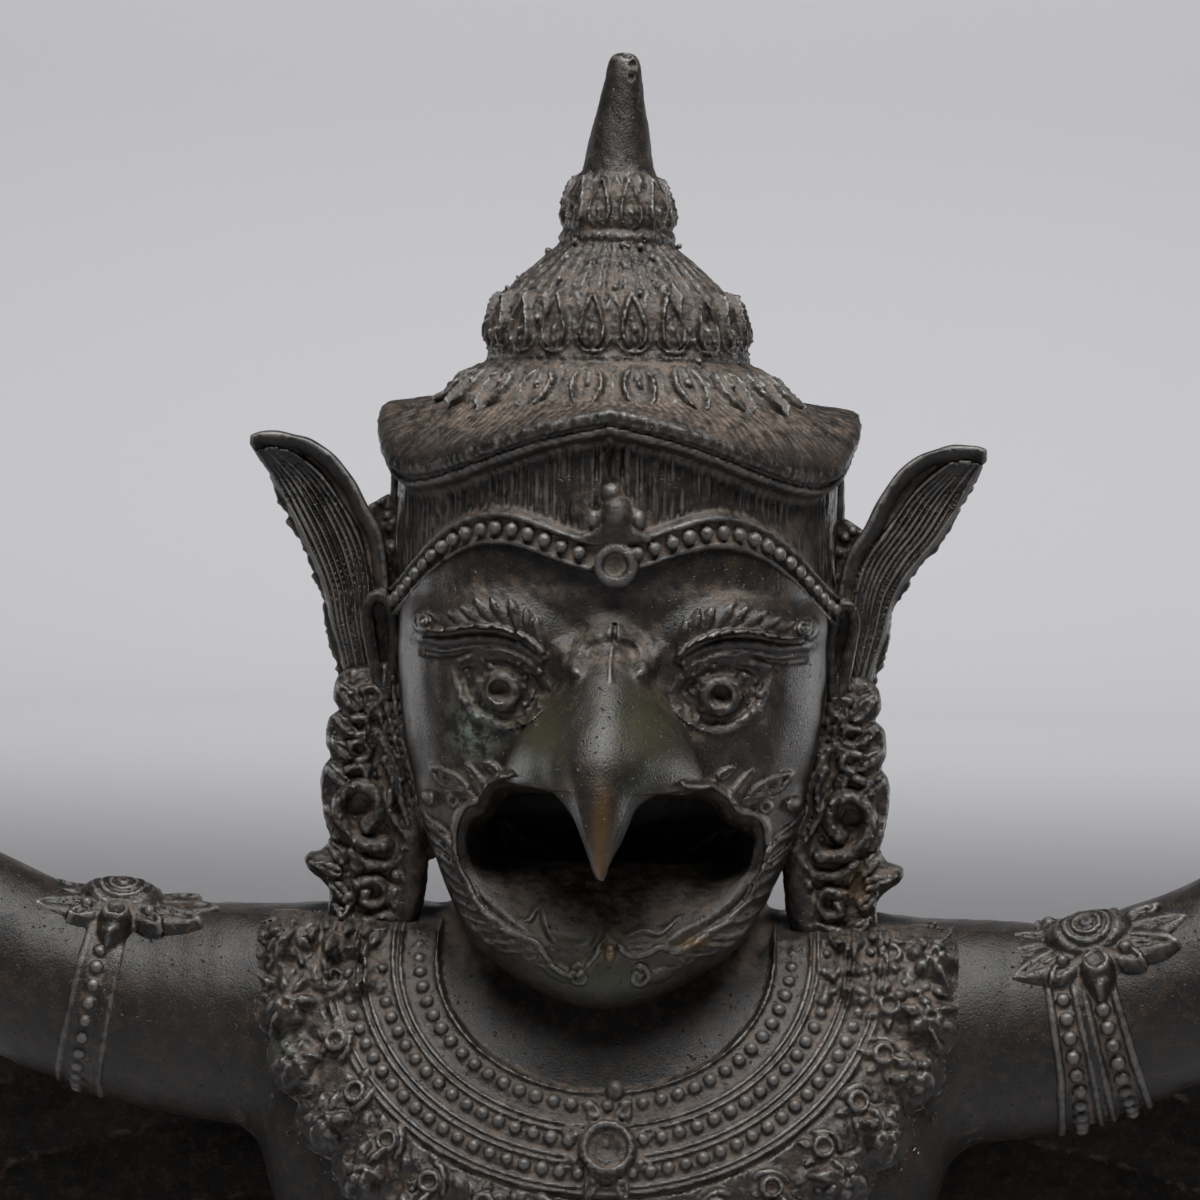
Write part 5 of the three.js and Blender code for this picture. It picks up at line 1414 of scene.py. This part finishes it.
def collar():
    field = Field((-97, -74, 28), (97, -6, 121), STEP["collar"])
    field.d = torso(field)
    for side in (-1, 1):
        field.tube(*arm_line(side), ARM_SOFT)
    under = field.d.copy()

    def lie(px, pz):
        """The place on the skin under a point, seen from the front, and the way out of it."""
        i = int(round((px - field.low[0]) / field.step))
        k = int(round((pz - field.low[2]) / field.step))
        j = int(np.argmax(under[i, :, k] < 0))
        near = under[i - 2 : i + 3, j - 2 : j + 3, k - 2 : k + 3]
        normal = unit([gradient.mean() for gradient in np.gradient(near)])
        return np.array((px, field.y[j], pz)), normal

    half = row_of(field.x[:, None], field.z[None, :])
    height = collar_height(half)
    rough = Relief(field.x, field.z, 0.0)
    ragged = 95 + 2.2 * np.sin(field.x[:, None] * 0.9 + np.cos(field.z * 0.7)[None, :] * 3)
    ground = 1.3 * np.clip((ragged - half) / 2.5, -2, 1)
    rough.h += np.where(half < 79.6, np.where(half > 44, height, -3), ground).astype(np.float32)
    for px, pz in ROSETTES + LOBES:
        rough.dome(px, pz, 11, 1.4, soft=True)
    rng = np.random.default_rng(17)
    for _ in range(GROUND_BUMPS):
        px, pz = rng.uniform(-96, 96), rng.uniform(36, 110)
        if 79 < row_of(px, pz) < 98 and abs(px) > 20:
            rough.dome(px, pz, rng.uniform(1.2, 3.4), rng.uniform(0.5, 1.5), soft=True, on=True)
    for side in (-1, 1):
        for _ in range(SHOULDER_BUMPS):
            px, pz = side * rng.uniform(60, 93), rng.uniform(94, 112)
            rough.dome(px, pz, rng.uniform(1.3, 3.2), rng.uniform(0.3, 1.3), soft=True, on=True)
    ridged = sum(np.abs(half - at) < 1.3 for at in COLLAR_ROWS["ridges"]) > 0
    rough.h += np.where(ridged, 0.02, 0.09) * grain(rough.h.shape, 9)
    fade = np.clip((SHOULDER["top"] + 0.5 - field.z) / 4, 0, 1)[None, :]
    rough.h = rough.h * fade - 0.9 * (1 - fade)
    field.d = (under - rough.h[:, None, :]).astype(np.float32)
    pitch = COLLAR_BEAD["pitch"]
    for row in COLLAR_ROWS["beads"]:
        for px, py, pz in evenly(row_line(row), pitch):
            if pz > 40:
                out = outward(TORSO, px, pz)
                field.ball(np.array((px, py, pz)) + out * (COLLAR_HIGH + 0.3), COLLAR_BEAD["radius"], 0.3)
    for places, drawn in ((ROSETTES, rosette), (LOBES, lobed)):
        for k, (px, pz) in enumerate(places):
            place, normal = lie(px, pz)
            centre = place + 0.6 * normal
            turn = 0.5 * math.sin(k * 2.3)
            towards = (np.sign(px) * (0.9 - turn), 0, -0.6 - turn)
            field.lay(drawn(k), centre, axes_at(normal, towards), 0.4)

    # A rough flap of metal stands on one shoulder.
    foot = [lie(px, pz)[0] - (0, 1, 0) for px, pz in ((-73.6, 110), (-75, 104), (-77, 97))]
    flap = spline([(-72, -15, 117), *foot], 30)
    field.tube(flap[::6] + rng.normal(size=(5, 3)) * 0.5, (0.9, 1.7, 1.4, 1.6, 0.7), 0.4)
    for place in flap:
        field.ball(place + rng.normal(size=3) * 0.9, rng.uniform(0.5, 1.3), 0.3)

    cx, cz = CENTRE_FLOWER
    normal = outward(TORSO, cx, cz)
    field.lay(centre_flower(), (cx, surface(TORSO, cx, cz), cz), axes_at(normal, (0, 0, 1)), 0.4)
    bud = np.array((BUD[0], surface(TORSO, *BUD), BUD[1]))
    field.ball(bud + outward(TORSO, *BUD) * 1.5, (2.6, 2.6, 3.0), 0.5)

    def keep(px, py, pz):
        return (py < surface(TORSO, px, np.clip(pz, 1, 112)) + 1.2) | (pz > 106)

    tint = [("tan", (side * 74, -20, 90), (22, 50, 24)) for side in (-1, 1)]
    tint += [("tan", (0, -50, 60), (50, 40, 20)), ("green", (-88, -40, 79), (4, 20, 3))]
    return make_piece("collar", *field.mesh(), rough=0.1, keep=keep, tint=tint)


# Armlets and the flowers over them.
ARMLETS = {
    -1: {"at": 144, "ridges": (-5.4, -4, 4.4), "beads": (0,), "lean": -4, "raised": 0.2},
    1: {"at": 134, "ridges": (-9.6, -1.2, 1.2, 9.6), "beads": (-5.4, 5.4), "lean": -2, "raised": 0.7},
}
ARM_FLOWER = {-1: {"at": 139, "tilt": 70, "slope": 5}, 1: {"at": 139, "tilt": 52, "slope": 14}}
FLOWER_BULGE = (-0.001, 0.011)

# A leaf of that flower is a turn in radians, a length, a width and a height.
FLOWER_LEAVES = [(0.06, 28.5, 12, 2.6), (-0.3, 25.5, 11, 3.3), (0.42, 24, 9, 3.0)]
FLOWER_LEAVES += [(-0.68, 17.5, 8, 3.8), (0.9, 16, 8, 3.3)]


def arm_place(side, out):
    """The arm's centre, radius and direction at a distance out."""
    points, radii = arm_line(side)
    k = min(int(np.searchsorted(np.abs(points[:, 0]), out)), len(points) - 1)
    a, b = points[k - 1], points[k]
    t = (out - abs(a[0])) / (abs(b[0]) - abs(a[0]))
    return a + t * (b - a), radii[k - 1] + t * (radii[k] - radii[k - 1]), unit(b - a)


def arm_ring(side, out, off, count=48):
    """Places round the arm, on a slant."""
    ring = []
    for turn in np.linspace(0, 2 * np.pi, count, endpoint=False):
        centre, radius, along = arm_place(side, out - ARMLETS[side]["lean"] / 2 * math.sin(turn))
        across = unit(np.cross(along, (0, 0, 1)))
        up = np.cross(across, along)
        ring.append(centre + (radius + off) * (across * math.cos(turn) + up * math.sin(turn)))
    return np.array(ring)


def arm_flower():
    """Leaves in layers to both sides, a grooved dome, and a small ring below it."""
    relief = Relief.plaque(30, 19)
    for sign in (-1, 1):
        for turn, length, wide, high in FLOWER_LEAVES:
            way = np.array([sign * math.cos(turn), math.sin(turn)])
            relief.leaf(way * 4, way * length, wide, high, "oval", hand=sign)
            across = np.array([-way[1], way[0]])
            for k in (-1, 1):
                vein = [way * 7 + across * k * wide * 0.16, way * length * 0.86]
                relief.line(vein, 0.55, -1.0, taper=True)
    relief.dome(0, 3.5, 9.8, 7.2, stretch=1.3)
    for radius in (7.4, 5.0, 2.6):
        relief.ring(0, 3.5, radius, 0.6, -0.9)
    relief.leaf((0, -6), (-1, -17), 10, 4.2, "lock")
    relief.dome(0, -8.8, 5.0, 5.4)
    relief.ring(0, -8.8, 3.4, 0.9, 1.2, on=True)
    relief.dome(0, -8.8, 2.2, -1.4, soft=True)
    relief.dome(0, -8.8, 0.9, 0.9, on=True)
    for sign in (-1, 1):
        relief.dome(sign * 8.8, -5.4, 2.4, 4.6)
    return relief


def armlet(side):
    from_x, to_x = (ARM_CUT - 80, ARM_CUT - 12) if side > 0 else (12 - ARM_CUT, 80 - ARM_CUT)
    field = Field((from_x, -36, 46), (to_x, 36, 148), STEP["armlet"])
    band = ARMLETS[side]
    for shift in band["ridges"]:
        field.tube(arm_ring(side, band["at"] + shift, band["raised"] - 0.3), 1.1, 0.3, closed=True)
    for shift in np.linspace(band["ridges"][0], band["ridges"][-1], 9):
        field.tube(arm_ring(side, band["at"] + shift, -1.4), 1.7, 1.0, closed=True)
    for shift in band["beads"]:
        ring = arm_ring(side, band["at"] + shift, band["raised"] - 0.4, 34)
        for bead in ring:
            field.ball(bead, 2.1, 0.3)
    flower = ARM_FLOWER[side]
    centre, radius, _ = arm_place(side, flower["at"])
    tilt, slope = math.radians(flower["tilt"]), math.radians(flower["slope"])
    along = np.array((side * math.cos(slope), 0, math.sin(slope)))
    normal = np.array((0, -math.cos(tilt), math.sin(tilt)))
    normal = unit(normal - (normal @ along) * along)
    axes = axes_at(normal, along * side)
    field.lay(arm_flower(), centre + normal * (radius + 0.5), axes, 0.5, bulge=FLOWER_BULGE)
    points, radii = arm_line(side)
    line = np.abs(points[:, 0])

    def keep(px, py, pz):
        cy, cz, r = (np.interp(np.abs(px), line, values) for values in (points[:, 1], points[:, 2], radii))
        return np.hypot(py - cy, pz - cz) > r - 1.4

    return make_piece(sided("armlet", side), *field.mesh(), rough=0.14, keep=keep)


# Feathers behind and under the arms.
WING = {"inner": 40, "outer": 172, "bulge": 7, "top": 98, "front": 12, "back": 24}
WING |= {"feathers": 4, "scallop": 4}


def wing(side):
    field = Field((-186, 4, -3), (-36, 30, 102), STEP["wing"])
    x, y, z = field.grid()
    u, v = -(x[:, 0] + 0 * z[0]), z[0] + 0 * x[:, 0]
    t = (WING["top"] - v) / WING["top"]
    edge = WING["outer"] + WING["bulge"] * np.sin(np.pi * np.clip(t, 0, 1))
    edge = edge + WING["scallop"] * np.abs(np.sin(np.pi * WING["feathers"] * t))
    relief = np.zeros_like(u)
    share = np.clip((u - WING["inner"] - 30) / (WING["outer"] - WING["inner"] - 30), 0, 1)
    row = (v + 14 * share**2 - 8 * (1 - share)) / (WING["top"] / WING["feathers"])
    part = row - np.floor(row)
    relief += 1.0 * np.sqrt(np.clip(1 - (2 * part - 1) ** 2, 0, 1))
    relief += 0.3 * np.exp(-(((part - 0.5) / 0.07) ** 2))
    slant = (u * 0.5 + (part - 0.5) * 26 * np.sign(part - 0.5)) / 3.8
    relief += 0.25 * np.cos(2 * np.pi * slant) * np.clip(0.5 + np.sin(u * 0.21 + 2 * row), 0, 1)
    flat = np.maximum(np.maximum(u - edge, v - WING["top"]), -v)
    slab = meet(WING["front"] - relief[:, None, :] * 1.2 - y, y - WING["back"] - relief[:, None, :] * 0.8)
    field.d = meet(slab * 0.85, flat[:, None, :] + 0 * y, 1.5).astype(np.float32)
    # The wings reflect less and are rougher: painted shade behind the arms, with matt dirt.
    tint = [("matt_and_shade", (side * 110, 15, 50), (180, 80, 110))]
    return make_piece(sided("wing", side), *field.mesh(side), rough=0.2, tint=tint)


first = skin()
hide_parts(NODE)
face()
diadem()
crown()
collar()
for side in (-1, 1):
    ear(side)
    ornament(side)
    armlet(side)
    wing(side)

# The stage, in metres: a round pale floor that turns up into a low wall on every side, soft lights,
# and the camera. A light has a name, a place, an aim, its size, watts and spread in degrees.
PALE = (0.46, 0.46, 0.475, 1)
STAGE = {"floor": 2.3, "radius": 0.5, "high": 1.2, "sides": 96}
LIGHTS = [
    ("above", (0.05, -0.46, 1.2), (0, -0.03, 0.2), (1.1, 0.6), 12, 120),
    ("behind", (0, 1.4, 1.5), (0, 2.6, 0.3), (2.8, 0.6), 25, 128),
    ("left", (-0.9, 0.68, 0.14), (0, 0, 0.16), (0.25, 0.26), 0.26, 70),
    ("right", (0.9, 0.68, 0.14), (0, 0, 0.16), (0.25, 0.26), 0.36, 70),
]
SKY = {"colour": (0.9, 0.93, 1, 1), "strength": 0.05}
VIEW = {"aside": 2.4, "above": 3.0, "roll": 1.1, "target": (-2.6, -45, 203), "distance": 1.3}
PHOTO_PIXELS = 1200
PIXEL = 0.27
SENSOR = 36


def backdrop():
    bend = [
        (STAGE["floor"] + STAGE["radius"] * math.sin(t), STAGE["radius"] * (1 - math.cos(t)))
        for t in np.linspace(0, np.pi / 2, 24)
    ]
    profile = [(0.5, 0), *bend, (STAGE["floor"] + STAGE["radius"], STAGE["high"])]
    n = STAGE["sides"]
    turns = np.arange(n) * 2 * np.pi / n
    points = [(0, 0, 0)]
    points += [(r * math.cos(turn), r * math.sin(turn), z) for r, z in profile for turn in turns]
    faces = [(0, 1 + j, 1 + (j + 1) % n) for j in range(n)]
    for ring in range(len(profile) - 1):
        a, b = 1 + ring * n, 1 + (ring + 1) * n
        faces += [(a + j, b + j, b + (j + 1) % n, a + (j + 1) % n) for j in range(n)]
    mesh = bpy.data.meshes.new("backdrop")
    mesh.from_pydata(points, [], faces)
    mesh.shade_smooth()
    paper = bpy.data.materials.new("pale_paper")
    _, _, shader = nodes_of(paper)
    shader.inputs["Base Color"].default_value = PALE
    shader.inputs["Roughness"].default_value = 0.9
    mesh.materials.append(paper)
    sheet = bpy.data.objects.new("backdrop", mesh)
    bpy.context.scene.collection.objects.link(sheet)


def area_light(name, place, aim, size, power, spread):
    light = bpy.data.lights.new(name, "AREA")
    light.shape = "RECTANGLE"
    light.size, light.size_y = size
    light.energy = power
    light.spread = math.radians(spread)
    lamp = bpy.data.objects.new(name, light)
    lamp.location = place
    lamp.rotation_euler = (Vector(aim) - Vector(place)).to_track_quat("-Z", "Y").to_euler()
    bpy.context.scene.collection.objects.link(lamp)


def set_camera():
    """The photograph's view: a long lens, a little to one side, above and turned."""
    aside, above, roll = (math.radians(VIEW[key]) for key in ("aside", "above", "roll"))
    target, distance = Vector(VIEW["target"]) * METRES, VIEW["distance"]
    level = math.cos(above)
    ahead = Vector((-math.sin(aside) * level, math.cos(aside) * level, -math.sin(above)))
    right = Vector((math.cos(aside), math.sin(aside), 0))
    up = right.cross(ahead)
    right, up = (
        right * math.cos(roll) + up * math.sin(roll),
        up * math.cos(roll) - right * math.sin(roll),
    )
    data = bpy.data.cameras.new("camera")
    data.sensor_width = SENSOR
    data.lens = SENSOR * distance / METRES / PIXEL / PHOTO_PIXELS
    camera = bpy.data.objects.new("camera", data)
    place = Matrix((right, up, -ahead)).transposed().to_4x4()
    place.translation = target - ahead * distance
    camera.matrix_world = place
    bpy.context.scene.collection.objects.link(camera)
    bpy.context.scene.camera = camera


backdrop()
for light in LIGHTS:
    area_light(*light)
world = bpy.data.worlds.new("studio")
world.use_nodes = True
sky = world.node_tree.nodes["Background"].inputs
sky["Color"].default_value = SKY["colour"]
sky["Strength"].default_value = SKY["strength"]
bpy.context.scene.world = world
bpy.context.scene.view_settings.view_transform = "Standard"
set_camera()
